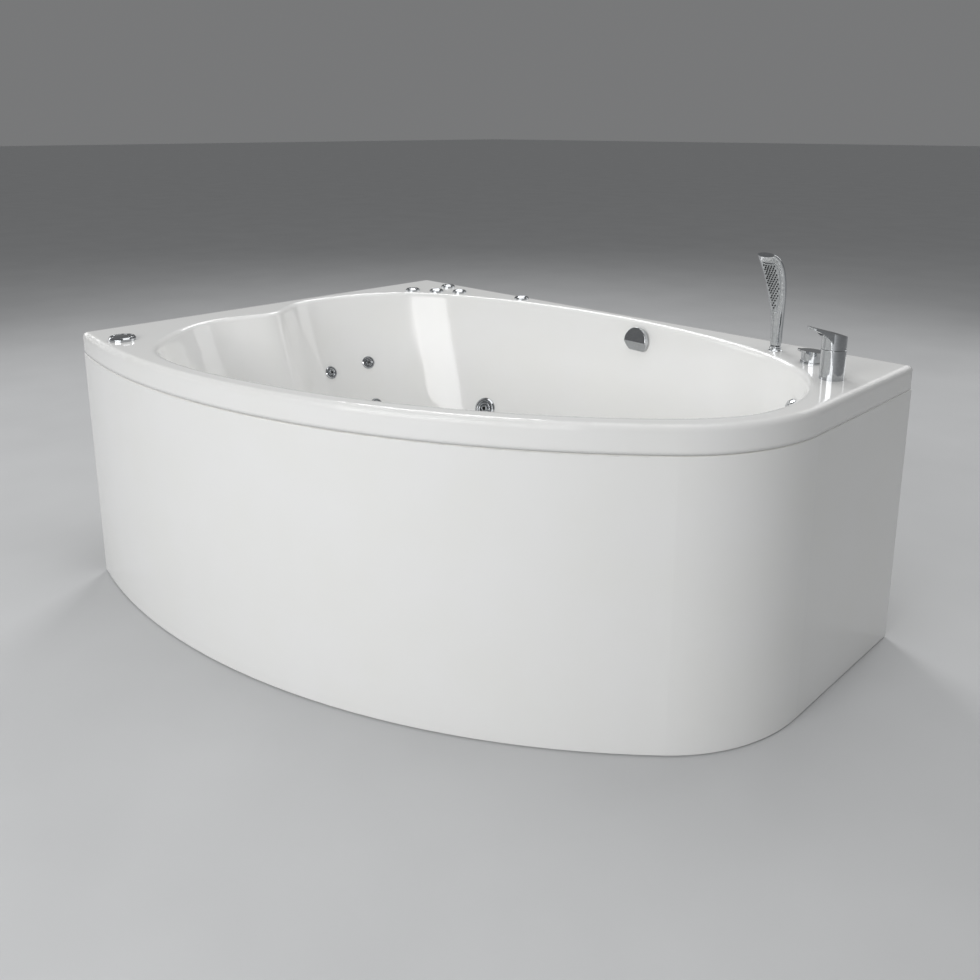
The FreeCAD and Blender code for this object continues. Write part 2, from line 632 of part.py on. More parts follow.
def rounded_wire(corners):
    """Closed wire in the XZ plane through (x, z) or (x, z, radius) corners; a radius rounds its corner."""
    points = [Vector(corner[0], 0, corner[1]) for corner in corners]
    stops = []
    for i, corner in enumerate(corners):
        if len(corner) == 3:
            stops.append(bend(points[i - 1], points[i], points[(i + 1) % len(points)], corner[2]))
        else:
            stops.append((points[i], None, points[i]))
    edges = []
    for i, (start, middle, finish) in enumerate(stops):
        if middle is not None:
            edges.append(arc(start, middle, finish))
        following = stops[(i + 1) % len(stops)][0]
        if finish.distanceToPoint(following) > TOUCH:
            edges.append(line(finish, following))
    return Part.Wire(edges)


def turned(corners, base=ORIGIN, axis=UP):
    """Solid of revolution of an (r, h) profile, with h along the axis from the base."""
    solid = Part.Face(rounded_wire(corners)).revolve(ORIGIN, UP, FULL_TURN)
    return placed(solid, base, axis)


def rod(a, b, radius):
    """Round bar from one point to another."""
    return Part.makeCylinder(radius, a.distanceToPoint(b), a, b - a)


def box(low, high):
    """Box between two opposite corners."""
    corner = Vector(min(low.x, high.x), min(low.y, high.y), min(low.z, high.z))
    return Part.makeBox(abs(high.x - low.x), abs(high.y - low.y), abs(high.z - low.z), corner)


def bent_path(points, radius):
    """Edges along a run of points with every inner corner bent to one radius."""
    edges = []
    start = points[0]
    for before, here, after in zip(points, points[1:], points[2:]):
        begin, middle, finish = bend(before, here, after, radius)
        edges += [line(start, begin), arc(begin, middle, finish)]
        start = finish
    return edges + [line(start, points[-1])]


def swept(edges, radius):
    """Round bar along a smooth run of edges."""
    start = edges[0].valueAt(edges[0].FirstParameter)
    tangent = edges[0].tangentAt(edges[0].FirstParameter)
    section = Part.Wire(Part.makeCircle(radius, start, tangent))
    return Part.Wire(edges).makePipeShell([section], True, False)


def tube(edges, radius):
    """Pipe along a smooth run of edges, open at both ends."""
    return swept(edges, radius).cut(swept(edges, radius - PIPE_WALL))


def group(solids):
    return Part.makeCompound(solids)


# Basin


def basin_guides():
    """Rim places and how far the wall leans in from there to the floor, once round from the back's middle.

    Each is (from_left, from_back, lean to the right, lean to the front). Deck widths and leans stay as they
    are set; places along the rim go with the length and the left width.
    """

    def back(along, behind, right, front):
        return LENGTH * along, BACK_RIM + behind, REST_LEAN * right, BACK_LEAN * front

    def left(rim, along, right, front):
        return rim, LEFT_WIDTH * along, REST_LEAN * right, FRONT_LEAN * front

    def bow(along, behind, right, front):
        from_back = front_edge(LENGTH * along, FRONT_RIM) - behind
        return LENGTH * along, from_back, REST_LEAN * right, FRONT_LEAN * front

    def end(inset, along, right, front):
        return LENGTH - END_RIM - inset, RIGHT_STRAIGHT * along, END_LEAN * right, BACK_LEAN * front

    corner = compass(CORNER_GUIDE) * (CORNER_RADIUS - FRONT_RIM)
    corner_left, corner_back = CORNER_CENTRE[0] + corner.x, CORNER_CENTRE[1] + corner.y
    control_left, control_back = REAR_REST_RIM + CONTROL_DECK_SWEEP, BACK_RIM + CONTROL_DECK_SWEEP
    return [
        back(0.512, 0.0, 0.05, 1.0),
        back(0.369, BACK_SWELL, 0.21, 0.98),
        (CONTROL_DECK_LENGTH, control_back, REST_LEAN * 0.5, BACK_LEAN * 0.84),
        (control_left, CONTROL_DECK_WIDTH, REST_LEAN * 0.89, BACK_LEAN * 0.585),
        left(REAR_REST_RIM, 0.375, 1.0, 0.17),
        left(REAR_REST_RIM + RIDGE_START, 0.5, 0.974, -0.04),
        left(RIDGE_RIM, 0.583, 0.861, -0.15),
        left(FRONT_REST_RIM, 0.7, 0.974, -0.37),
        left(FRONT_REST_RIM + RIDGE_START, 0.792, 0.985, -0.543),
        bow(0.122, FRONT_SWEEP, 0.876, -0.74),
        bow(0.196, FRONT_SWEEP / 4, 0.683, -0.965),
        bow(0.298, 0.0, 0.438, -1.0),
        bow(0.417, 0.0, 0.193, -0.94),
        bow(0.583, 0.0, -0.077, -0.813),
        bow(0.75, 0.0, -0.31, -0.61),
        bow(0.881, 0.0, -0.464, -0.395),
        (corner_left, corner_back, -END_LEAN, FRONT_LEAN * -0.183),
        end(0.0, 1.0, -1.0, 0.01),
        end(TAP_DECK_SWEEP, 0.664, -0.94, 0.27),
        end(TAP_DECK_WIDTH, 0.407, -0.762, 0.542),
        back(0.69, BACK_SWELL * 2, -0.13, 0.888),
    ]


def wall_lean(depth_share):
    """Share of the lean reached at a share of the depth: a straight slope that curls into the floor."""
    curl = 1 - (1 - depth_share ** FLOOR_CURL) ** (1 / FLOOR_CURL)
    return WALL_DRAFT * depth_share + (1 - WALL_DRAFT) * curl


def section_stations():
    """Spline stations shared by every level: chord lengths along the rim."""
    places = [spot(u, w) for u, w, du, dw in basin_guides()]
    stations = [0.0]
    for i, here in enumerate(places):
        stations.append(stations[-1] + here.distanceToPoint(places[(i + 1) % len(places)]))
    return stations


def basin_section(depth_share, skin, z):
    """Closed smooth outline of the basin at one level, grown outwards by the skin."""
    lean = wall_lean(depth_share)
    places = [spot(u + du * lean, w + dw * lean, z) for u, w, du, dw in basin_guides()]
    points = []
    for i, here in enumerate(places):
        along = places[(i + 1) % len(places)] - places[i - 1]
        points.append(here + along.cross(UP).normalize() * skin)
    curve = Part.BSplineCurve()
    curve.interpolate(Points=points, PeriodicFlag=True, Parameters=section_stations())
    return Part.Wire([curve.toShape()])


def basin_solid(skin):
    """The basin as a solid, from the deck's top to its floor, grown by the skin."""
    sections = []
    for share in SECTION_LEVELS:
        sections.append(basin_section(share, skin, RIM_HEIGHT - (BASIN_DEPTH + skin) * share))
    return Part.makeLoft(sections, True, False, False)


def rim_points(point, normal, radius):
    """Points on a circle about a fitting's axis, and its middle."""
    side = normal.cross(UP).normalize()
    rise = normal.cross(side)
    points = [point]
    for step in range(RIM_STEPS):
        turn = 2 * math.pi * step / RIM_STEPS
        points.append(point + (side * math.cos(turn) + rise * math.sin(turn)) * radius)
    return points


def wall_seat(guess, radius):
    """Seat of a round fitting on the wall point nearest to a guessed place.

    Gives the middle of its flat flange, the direction into the basin, and the depth to the back of the wall.
    """
    wall = max(BASIN.Faces, key=lambda face: face.Area).Surface
    skin = max(BASIN_SKIN.Faces, key=lambda face: face.Area).Surface
    u, v = wall.parameter(guess)
    point = wall.value(u, v)
    normal = wall.normal(u, v)
    if normal.dot(spot(LENGTH / 2, DEPTH / 2, RIM_HEIGHT) - point) < 0:
        normal = normal * -1
    around = rim_points(point, normal, radius)
    stand_off = max((wall.value(*wall.parameter(rim)) - point).dot(normal) for rim in around)
    seat = point + normal * (stand_off + SEAT_GAP)
    behind = max((seat - skin.value(*skin.parameter(rim))).dot(normal) for rim in around)
    return seat, normal, behind + SEAT_GAP


def basin_place(shares, rise):
    """Guessed place of a wall fitting from its shares of the length and the left width, and its rise."""
    return spot(LENGTH * shares[0], LEFT_WIDTH * shares[1], FLOOR_LEVEL + rise)


# Seats of the wall fittings, and what lines up with them
BASIN = basin_solid(0.0)
BASIN_SKIN = basin_solid(SHELL_WALL)
JETS = [wall_seat(basin_place(at, BASIN_DEPTH * rise), JET_RADIUS) for at, rise in zip(JETS_AT, JET_RISES)]
BACK_JET_PLACES = [spot(*at, FLOOR_LEVEL + rise) for at, rise in zip(BACK_JETS_AT, BACK_JET_RISES)]
BACK_JETS = [wall_seat(place, BACK_JET_RADIUS) for place in BACK_JET_PLACES]
SUCTION = wall_seat(basin_place(SUCTION_AT, BASIN_DEPTH * SUCTION_RISE), SUCTION_RADIUS)
FILLER_GUESS = spot(LENGTH - FILLER_FROM_RIGHT, FILLER_FROM_BACK, RIM_HEIGHT - FILLER_DROP)
FILLER = wall_seat(FILLER_GUESS, FILLER_RADIUS)
OVERFLOW_GUESS = spot(LENGTH - OVERFLOW_FROM_RIGHT, BACK_RIM, RIM_HEIGHT - OVERFLOW_DROP)
OVERFLOW = wall_seat(OVERFLOW_GUESS, OVERFLOW_KNOB)


def behind_wall(seat, distance):
    """A place on a wall fitting's axis, behind the wall."""
    point, inward, behind = seat
    return point - inward * (behind + distance)


OVERFLOW_MIDDLE = behind_wall(OVERFLOW, OVERFLOW_HOUSING_DEPTH / 2)
DRAIN_FROM_LEFT = OVERFLOW_MIDDLE.x + LENGTH / 2
CROSS_RAILS_AT = (LEFT_RAIL, DRAIN_FROM_LEFT - MIDDLE_RAIL, LENGTH - RIGHT_RAIL)


def drain_axis(z):
    """A level on the waste's axis; the waste lies straight in front of the overflow."""
    return spot(DRAIN_FROM_LEFT, DRAIN_FROM_BACK, z)


def through_wall(seat, radius):
    """Round cutter through the basin wall along a fitting's axis."""
    point, inward, behind = seat
    return rod(point + inward * behind, behind_wall(seat, behind), radius + SEAT_GAP)


def through_deck(place, radius):
    """Round cutter through the deck."""
    return rod(deck(place, CUT_MARGIN), deck(place, -SHELL_WALL - EDGE_ROUND), radius + SEAT_GAP)


def tub_shell():
    """Deck, skirt and basin in one skin, with its lip and outer edge rolled over."""
    slab = plan_prism(0, DECK_UNDERSIDE, SHELL_WALL, CORNER_ROUND)
    skirt = plan_prism(0, SKIRT_BOTTOM, SKIRT_DROP, CORNER_ROUND)
    skirt = skirt.cut(plan_prism(SKIRT_WALL, SKIRT_BOTTOM, SKIRT_DROP, CORNER_ROUND - SKIRT_WALL))
    mouth = Part.Face(basin_section(0.0, 0.0, RIM_HEIGHT)).extrude(UP * CUT_MARGIN)
    body = slab.fuse([skirt, BASIN_SKIN]).cut(BASIN).cut(mouth).removeSplitter()
    top_edges = []
    for edge in body.Edges:
        if max(abs(point.z - RIM_HEIGHT) for point in edge.discretize(RIM_STEPS)) < TOUCH:
            top_edges.append(edge)
    body = body.makeFillet(EDGE_ROUND, top_edges)
    cutters = [through_wall(seat, JET_BORE + JET_NECK_WALL) for seat in JETS]
    cutters += [through_wall(seat, BACK_JET_NECK) for seat in BACK_JETS]
    cutters += [through_wall(SUCTION, SUCTION_NECK), through_wall(FILLER, FILLER_BODY)]
    cutters += [through_wall(OVERFLOW, OVERFLOW_SPINDLE + OVERFLOW_PASSAGE)]
    cutters += [through_deck(place, CONTROL_SHANK) for place in CONTROLS_AT]
    cutters += [through_deck(MAIN_CONTROL_AT, MAIN_CONTROL_SHANK)]
    cutters += [through_deck(MIXER_AT, TAP_SHANK), through_deck(DIVERTER_AT, TAP_SHANK)]
    cutters += [through_deck(SHOWER_AT, SHOWER_SLEEVE - SHOWER_SLEEVE_STEP)]
    drain_top = drain_axis(FLOOR_LEVEL + CUT_MARGIN)
    cutters += [rod(drain_axis(BOARD_TOP - CUT_MARGIN), drain_top, DRAIN_SLEEVE + SEAT_GAP)]
    return body.cut(cutters)


def base_board():
    """Board bonded under the basin floor, with room for the waste."""
    board = Part.Face(basin_section(1.0, SHELL_WALL, BOARD_TOP)).extrude(DOWN * BOARD)
    return board.cut(rod(drain_axis(BOARD_TOP), drain_axis(LONG_RAIL_TOP), DRAIN_BODY + BOARD_CUTOUT))


# Apron and frame


def apron_panel():
    """Bent front panel with a rounded upper edge, flanges along its edges and upright ribs inside."""
    height = APRON_TOP - APRON_FLOOR_GAP
    panel = front_band(0, APRON_WALL, APRON_FLOOR_GAP, height)
    front_line = Part.Wire(front_edges(0, APRON_TOP, 0, 0))
    upper = [edge for edge in panel.Edges if on_line(edge, front_line)]
    panel = panel.makeFillet(APRON_EDGE, upper)
    inside = APRON_WALL + APRON_FLANGE
    flange_levels = (APRON_FLOOR_GAP, APRON_TOP - APRON_WALL)
    flanges = [front_band(APRON_WALL, inside, level, APRON_WALL) for level in flange_levels]
    rib_foot = APRON_FLOOR_GAP + APRON_WALL
    rib_zone = front_band(APRON_WALL, APRON_WALL + APRON_RIB, rib_foot, height - 2 * APRON_WALL)
    rib_zone = rib_zone.cut(post_room())
    bow = spot(*FRONT_CENTRE)
    tangent = bearing(bow, spot(*CORNER_CENTRE))
    finish = bearing(bow, spot(0, front_edge(0)))
    ribs = []
    for i in range(APRON_RIB_COUNT):
        angle = tangent + (finish - tangent) * (i + 0.5) / APRON_RIB_COUNT
        slab = Part.makeBox(FRONT_RADIUS, APRON_RIB_WIDTH, RIM_HEIGHT, Vector(0, -APRON_RIB_WIDTH / 2, 0))
        ribs.append(rib_zone.common(faced(slab, bow, angle)))
    return panel.fuse(flanges + ribs).removeSplitter()


def on_line(edge, wire):
    """Whether an edge lies on a wire from end to end."""
    points = edge.discretize(RIM_STEPS)
    return max(Part.Vertex(point).distToShape(wire)[0] for point in points) < TOUCH


def cross_rail_ends(from_left):
    """Where a cross rail starts and stops, from the back wall."""
    sides = (from_left - RAIL_WIDTH / 2, from_left + RAIL_WIDTH / 2)
    return POST_INSET, min(front_edge(side, APRON_WALL) for side in sides) - POST_INSET


def post_room():
    """Notches in the apron's ribs where a post or a rail ends behind the apron."""
    room = POST_INSET / 2
    half = RAIL_WIDTH / 2 + room
    notches = []
    for from_left in CROSS_RAILS_AT:
        front = cross_rail_ends(from_left)[1]
        low = spot(from_left - half, front + room)
        notches.append(box(low, spot(from_left + half, front - POST, RIM_HEIGHT)))
    return notches


def box_rail(low, high, open_axis):
    """Rectangular steel tube between two corners, open along one axis."""
    outer = box(low, high)
    wall = Vector(RAIL_WALL, RAIL_WALL, RAIL_WALL) - open_axis * RAIL_WALL
    bounds = outer.BoundBox
    inner_low = Vector(bounds.XMin, bounds.YMin, bounds.ZMin) + wall
    inner_high = Vector(bounds.XMax, bounds.YMax, bounds.ZMax) - wall
    return outer.cut(box(inner_low, inner_high))


def foot_places():
    """Where the adjustable feet stand: three under each cross rail."""
    places = []
    for from_left in CROSS_RAILS_AT:
        back, front = cross_rail_ends(from_left)
        for from_back in (back + FOOT_INSET, (back + front) / 2, front - FOOT_INSET):
            places.append((from_left, from_back))
    return places


def frame_cross_rails():
    """Three steel tubes from back to front, drilled below for the feet."""
    half = RAIL_WIDTH / 2
    holes = []
    for place in foot_places():
        below = spot(*place, CROSS_RAIL_BOTTOM)
        holes.append(rod(below, below + UP * RAIL_WALL, STUD_RADIUS + SEAT_GAP))
    rails = []
    for from_left in CROSS_RAILS_AT:
        back, front = cross_rail_ends(from_left)
        low = spot(from_left - half, front, CROSS_RAIL_BOTTOM)
        rails.append(box_rail(low, spot(from_left + half, back, CROSS_RAIL_TOP), TO_BACK).cut(holes))
    return group(rails)


def frame_long_rails():
    """Two steel tubes across the cross rails, under the board."""
    half = RAIL_WIDTH / 2
    rails = []
    for from_back in LONG_RAILS_AT:
        low = spot(CROSS_RAILS_AT[0] - half, from_back + half, CROSS_RAIL_TOP)
        high = spot(CROSS_RAILS_AT[-1] + half, from_back - half, LONG_RAIL_TOP)
        rails.append(box_rail(low, high, TO_RIGHT))
    return group(rails)


def front_posts():
    """Plan corner nearest the back wall of each post behind the apron."""
    return [(from_left - POST / 2, cross_rail_ends(from_left)[1] - POST) for from_left in CROSS_RAILS_AT]


def frame_posts():
    """Posts on the ends of the cross rails: the back ones carry the deck, the front ones the apron."""
    corners = [(from_left, from_back, FRONT_POST_TOP) for from_left, from_back in front_posts()]
    corners += [(from_left - POST / 2, POST_INSET, DECK_UNDERSIDE) for from_left in CROSS_RAILS_AT]
    posts = []
    for from_left, from_back, top in corners:
        low = spot(from_left, from_back + POST, CROSS_RAIL_TOP)
        posts.append(box_rail(low, spot(from_left + POST, from_back, top), UP))
    return group(posts)


def apron_clips():
    """Plate on each front post that carries the apron's top flange, with a lip behind the flange."""
    seat = FRONT_POST_TOP + CLIP_PLATE
    clips = []
    for from_left, from_back in front_posts():
        right = from_left + POST
        flange_back = min(front_edge(side, APRON_WALL + APRON_FLANGE) for side in (from_left, right))
        reach = min(front_edge(side, APRON_WALL + APRON_RIB) for side in (from_left, right))
        rear = spot(right, from_back - CLIP_PLATE, seat)
        plate = box(spot(from_left, reach, FRONT_POST_TOP), rear)
        lip = box(spot(from_left, flange_back - SEAT_GAP, seat), rear + UP * APRON_WALL)
        clips.append(plate.fuse(lip).removeSplitter())
    return group(clips)


def hexagon(base, height):
    """Nut blank standing on a base point."""
    corner_radius = NUT_ACROSS / 2 / math.cos(math.pi / NUT_SIDES)
    corners = [base + compass(FULL_TURN * i / NUT_SIDES) * corner_radius for i in range(NUT_SIDES + 1)]
    return Part.Face(Part.makePolygon(corners)).extrude(UP * height)


def foot_studs():
    top = CROSS_RAIL_BOTTOM + RAIL_WALL + STUD_REACH
    return group([rod(spot(*place, PAD_SOLE), spot(*place, top), STUD_RADIUS) for place in foot_places()])


def foot_nuts():
    """A welded nut under the rail and a lock nut against it, on each stud."""
    nuts = []
    for place in foot_places():
        for below in (NUT_HEIGHT, 2 * NUT_HEIGHT):
            base = spot(*place, CROSS_RAIL_BOTTOM - below)
            bore = rod(base, base + UP * NUT_HEIGHT, STUD_RADIUS + RUNNING_GAP)
            nuts.append(hexagon(base, NUT_HEIGHT).cut(bore))
    return group(nuts)


def foot_pads():
    socket = STUD_RADIUS + RUNNING_GAP
    profile = [
        (0, 0), (PAD_RADIUS, 0), (PAD_RADIUS, PAD_SOLE, PAD_ROUND),
        (socket + PAD_NECK, PAD_HEIGHT, PAD_ROUND),
        (socket, PAD_HEIGHT), (socket, PAD_SOLE), (0, PAD_SOLE),
    ]
    return group([turned(profile, spot(*place)) for place in foot_places()])


def wall_bracket(middle, along, inward):
    """Angle bracket on a wall: screwed through its plate, with a tab under the skirt's lower edge."""
    half = along * (BRACKET_WIDTH / 2)
    fall = DOWN * BRACKET_HEIGHT
    plate = box(middle - half + fall, middle + half + inward * BRACKET_PLATE)
    tab = box(middle - half + DOWN * BRACKET_PLATE, middle + half + inward * BRACKET_TAB)
    holes = []
    for side in (-0.5, 0.5):
        hole = middle + along * (side * BRACKET_HOLE_SPACING) + fall * 0.5
        holes.append(rod(hole - inward * CUT_MARGIN, hole + inward * CUT_MARGIN, BRACKET_HOLE))
    return plate.fuse(tab).cut(holes).removeSplitter()


def wall_brackets():
    """Two brackets on the back wall and one on the left wall."""
    brackets = []
    for from_left in (LEFT_BRACKET, LENGTH - RIGHT_BRACKET):
        brackets.append(wall_bracket(spot(from_left, 0, SKIRT_BOTTOM), TO_RIGHT, TO_FRONT))
    brackets.append(wall_bracket(spot(0, LEFT_WIDTH / 2, SKIRT_BOTTOM), TO_BACK, TO_RIGHT))
    return group(brackets)


# Waste and overflow


def drain_flange():
    """Rolled flange in the basin floor with its sleeve through the shell."""
    inner = DRAIN_SLEEVE - DRAIN_SLEEVE_WALL
    foot = -SHELL_WALL - DRAIN_SLEEVE_DEPTH
    profile = [
        (inner, foot), (DRAIN_SLEEVE, foot), (DRAIN_SLEEVE, 0), (DRAIN_FLANGE, 0),
        (DRAIN_FLANGE - DRAIN_SLOPE, DRAIN_PROUD, DRAIN_ROUND), (inner, DRAIN_PROUD, DRAIN_ROUND),
    ]
    return turned(profile, drain_axis(FLOOR_LEVEL))


def drain_body():
    """Cup under the floor: seats the flange sleeve, takes in the overflow and guides the plug."""
    bore = DRAIN_BODY - DRAIN_BODY_WALL
    collar = DRAIN_SLEEVE + RUNNING_GAP
    outlet = (TAIL_RADIUS - TAIL_WALL, TAIL_RADIUS + TAIL_WALL)
    floor = DRAIN_BODY_WALL - DRAIN_BODY_DEPTH
    cup = turned([
        (collar, 0), (DRAIN_BODY + DRAIN_COLLAR, 0), (DRAIN_BODY + DRAIN_COLLAR, -DRAIN_COLLAR_DEPTH),
        (DRAIN_BODY, -DRAIN_COLLAR_DEPTH), (DRAIN_BODY, floor + DRAIN_FUNNEL), (outlet[1], floor),
        (outlet[1], -DRAIN_BODY_DEPTH), (outlet[0], -DRAIN_BODY_DEPTH), (outlet[0], floor + DRAIN_BODY_WALL),
        (bore, floor + DRAIN_BODY_WALL + DRAIN_FUNNEL), (bore, -DRAIN_SEAT_DEPTH),
        (collar, -DRAIN_SEAT_DEPTH),
    ], drain_axis(BOARD_TOP))
    port = drain_axis(SIDE_INLET_LEVEL)
    inlet = port + TO_BACK * (DRAIN_BODY + SIDE_INLET_REACH)
    way_in = rod(port, inlet, OVERFLOW_PIPE + RUNNING_GAP)
    well = rod(drain_axis(BOARD_TOP - DRAIN_SEAT_DEPTH), drain_axis(DRAIN_BODY_BOTTOM), bore)
    branch_pipe = rod(port, inlet, OVERFLOW_PIPE + SIDE_INLET_WALL).cut(well)
    hub_base = drain_axis(GUIDE_TOP - GUIDE_LENGTH)
    hub = rod(hub_base, drain_axis(GUIDE_TOP), PLUG_STEM + GUIDE_WALL)
    arms = []
    for angle in GUIDE_ARMS_AT:
        reach = bore + DRAIN_BODY_WALL / 2
        arm = Part.makeBox(reach, GUIDE_ARM, GUIDE_ARM_HEIGHT, Vector(0, -GUIDE_ARM / 2, 0))
        arms.append(faced(arm, hub_base, angle))
    guide_bore = rod(drain_axis(DRAIN_BODY_BOTTOM), drain_axis(BOARD_TOP), PLUG_STEM + RUNNING_GAP)
    return cup.fuse(branch_pipe).cut(way_in).fuse([hub] + arms).cut(guide_bore).removeSplitter()


def drain_plug():
    """Domed plug that stands on its stem and closes the flange at rest."""
    rise = DRAIN_PROUD + SEAT_GAP
    foot = GUIDE_TOP - GUIDE_BEARING - FLOOR_LEVEL
    profile = [
        (0, foot), (PLUG_STEM, foot), (PLUG_STEM, rise), (PLUG_RADIUS, rise),
        (PLUG_RADIUS - PLUG_SLOPE, rise + PLUG_EDGE, PLUG_ROUND),
        (PLUG_CROWN, rise + PLUG_HEIGHT, PLUG_CROWN_ROUND), (0, rise + PLUG_HEIGHT),
    ]
    return turned(profile, drain_axis(FLOOR_LEVEL))


def waste_trap():
    """Bottle trap under the waste, with a collar and its outlet spigot towards the back wall."""
    bore = TRAP_RADIUS - TRAP_WALL
    neck = TAIL_RADIUS - TAIL_WALL
    floor = TRAP_WALL - TRAP_HEIGHT
    inner_shoulder = -TRAP_SHOULDER - TRAP_WALL
    bottle = turned([
        (0, -TRAP_HEIGHT), (TRAP_RADIUS, -TRAP_HEIGHT, TRAP_ROUND),
        (TRAP_RADIUS, -TRAP_SHOULDER, TRAP_SHOULDER_ROUND),
        (TAIL_RADIUS + TRAP_NECK, 0), (neck, 0), (neck, -TRAP_NECK_DEPTH), (bore, inner_shoulder),
        (bore, floor, TRAP_ROUND - TRAP_WALL), (0, floor),
    ], drain_axis(TRAP_TOP))
    axis = drain_axis(TRAP_TOP - TRAP_HEIGHT / 2)
    collar_end = axis + TO_BACK * (TRAP_RADIUS + WASTE_COLLAR_LENGTH)
    spigot_end = collar_end + TO_BACK * WASTE_SPIGOT
    well = rod(drain_axis(TRAP_TOP + inner_shoulder), drain_axis(TRAP_TOP + floor + TRAP_ROUND), bore)
    collar = rod(axis, collar_end, WASTE_RADIUS + WASTE_COLLAR)
    spigot = rod(axis, spigot_end, WASTE_RADIUS).fuse(collar).cut(well)
    return bottle.fuse(spigot).cut(rod(axis, spigot_end, WASTE_RADIUS - PIPE_WALL)).removeSplitter()


def overflow_body():
    """Housing behind the back wall with the spindle's bearing and an outlet downwards."""
    seat, inward, front = OVERFLOW
    bore = OVERFLOW_SPINDLE + RUNNING_GAP
    back = -front - OVERFLOW_HOUSING_DEPTH
    housing = turned([
        (bore, back), (OVERFLOW_HOUSING, back, OVERFLOW_HOUSING_ROUND), (OVERFLOW_HOUSING, -front),
        (bore, -front),
    ], seat, inward)
    foot = OVERFLOW_MIDDLE + DOWN * (OVERFLOW_HOUSING + OVERFLOW_TAIL)
    outlet = rod(OVERFLOW_MIDDLE, foot, OVERFLOW_PIPE - PIPE_WALL - RUNNING_GAP)
    spindle_room = rod(seat, behind_wall(OVERFLOW, OVERFLOW_HOUSING_DEPTH), bore)
    return housing.fuse(outlet).cut(spindle_room).removeSplitter()


def overflow_knob():
    """Turning disc with a slanted lower face, standing off the wall so that water can pass behind it."""
    seat, inward, behind = OVERFLOW
    foot = -behind - OVERFLOW_HOUSING_DEPTH + OVERFLOW_SPINDLE_STOP
    back = OVERFLOW_STAND_OFF
    front = back + OVERFLOW_KNOB_DEPTH
    knob = turned([
        (0, foot), (OVERFLOW_SPINDLE, foot), (OVERFLOW_SPINDLE, back),
        (OVERFLOW_KNOB - OVERFLOW_KNOB_ROUND, back),
        (OVERFLOW_KNOB, back + OVERFLOW_KNOB_ROUND), (OVERFLOW_KNOB, front, OVERFLOW_KNOB_ROUND), (0, front),
    ], seat, inward)
    side = inward.cross(UP).normalize() * OVERFLOW_KNOB
    fall = side.cross(inward).normalize()
    if fall.z > 0:
        fall = fall * -1
    slope_foot = seat + inward * back + fall * OVERFLOW_CHAMFER_FOOT
    slope_top = seat + inward * front + fall * OVERFLOW_CHAMFER_TOP
    past = (slope_top - slope_foot) * 0.2
    below = fall * (2 * OVERFLOW_KNOB)
    slope_foot = slope_foot - past
    slope_top = slope_top + past
    corners = [slope_foot, slope_top, slope_top + below, slope_foot + below, slope_foot]
    wedge = Part.Face(Part.makePolygon([corner - side for corner in corners])).extrude(side * 2)
    return knob.cut(wedge)


def overflow_pipe():
    """Pipe from the overflow down behind the basin and under it to the waste."""
    top = OVERFLOW_MIDDLE + DOWN * (OVERFLOW_HOUSING + OVERFLOW_TAIL - OVERFLOW_PIPE_LAP)
    low = Vector(top.x, top.y, SIDE_INLET_LEVEL)
    port = drain_axis(SIDE_INLET_LEVEL) + TO_BACK * (DRAIN_BODY - SIDE_INLET_LAP)
    return tube(bent_path([top, low, port], OVERFLOW_BEND), OVERFLOW_PIPE)


# Deck taps


def side_prism(edges, half_width):
    """Prism across Y over a closed outline in the XZ plane."""
    prism = Part.Face(Part.Wire(edges)).extrude(TO_BACK * (2 * half_width))
    prism.translate(TO_FRONT * half_width)
    return prism


def lever_solid(radius, bottom, shoulder, reach, top, tip, tip_width):
    """Round cap whose top sweeps up into a forward tongue; made about +Z with the tongue towards +X."""
    above = top + tip
    past = reach + LEVER_TRIM
    rear = -radius - LEVER_TRIM
    root = radius * TONGUE_ROOT
    flank = radius * TONGUE_FLANK
    nose = reach - TONGUE_NOSE
    half = tip_width / 2
    column = Part.makeCylinder(radius, above - bottom, UP * bottom)
    tongue = Part.Face(Part.Wire([
        line(Vector(0, -flank, bottom), Vector(nose, -half, bottom)),
        arc(Vector(nose, -half, bottom), Vector(reach, 0, bottom), Vector(nose, half, bottom)),
        line(Vector(nose, half, bottom), Vector(0, flank, bottom)),
        line(Vector(0, flank, bottom), Vector(0, -flank, bottom)),
    ])).extrude(UP * (above - bottom))
    tip_under = Vector(past, 0, top - tip)
    throat = Vector(root, 0, bottom + (shoulder - bottom) * THROAT_RISE)
    hollow = Vector(reach * HOLLOW_AT, 0, top - tip - (top - bottom) * HOLLOW_DROP)
    beneath = side_prism([
        arc(tip_under, hollow, throat),
        line(throat, Vector(root, 0, bottom - tip)),
        line(Vector(root, 0, bottom - tip), Vector(past, 0, bottom - tip)),
        line(Vector(past, 0, bottom - tip), tip_under),
    ], 2 * radius)
    back = Vector(rear, 0, shoulder)
    crown = Vector(reach * CROWN_AT, 0, shoulder + (top - shoulder) * CROWN_RISE)
    front = Vector(past, 0, top)
    over = side_prism([
        arc(back, crown, front),
        line(front, Vector(past, 0, above + tip)),
        line(Vector(past, 0, above + tip), Vector(rear, 0, above + tip)),
        line(Vector(rear, 0, above + tip), back),
    ], 2 * radius)
    return column.fuse(tongue.cut(beneath)).cut(over).removeSplitter()


def mixer_body():
    """Column with a threaded shank below the deck and a well for the stem at its top."""
    bore = MIXER_STEM + RUNNING_GAP
    well = MIXER_PARTING - MIXER_STEM_DEPTH
    return turned([
        (0, SHANK_END), (TAP_SHANK, SHANK_END), (TAP_SHANK, 0), (MIXER_RADIUS, 0),
        (MIXER_RADIUS, MIXER_PARTING, MIXER_EDGE), (bore, MIXER_PARTING), (bore, well), (0, well),
    ], deck(MIXER_AT))


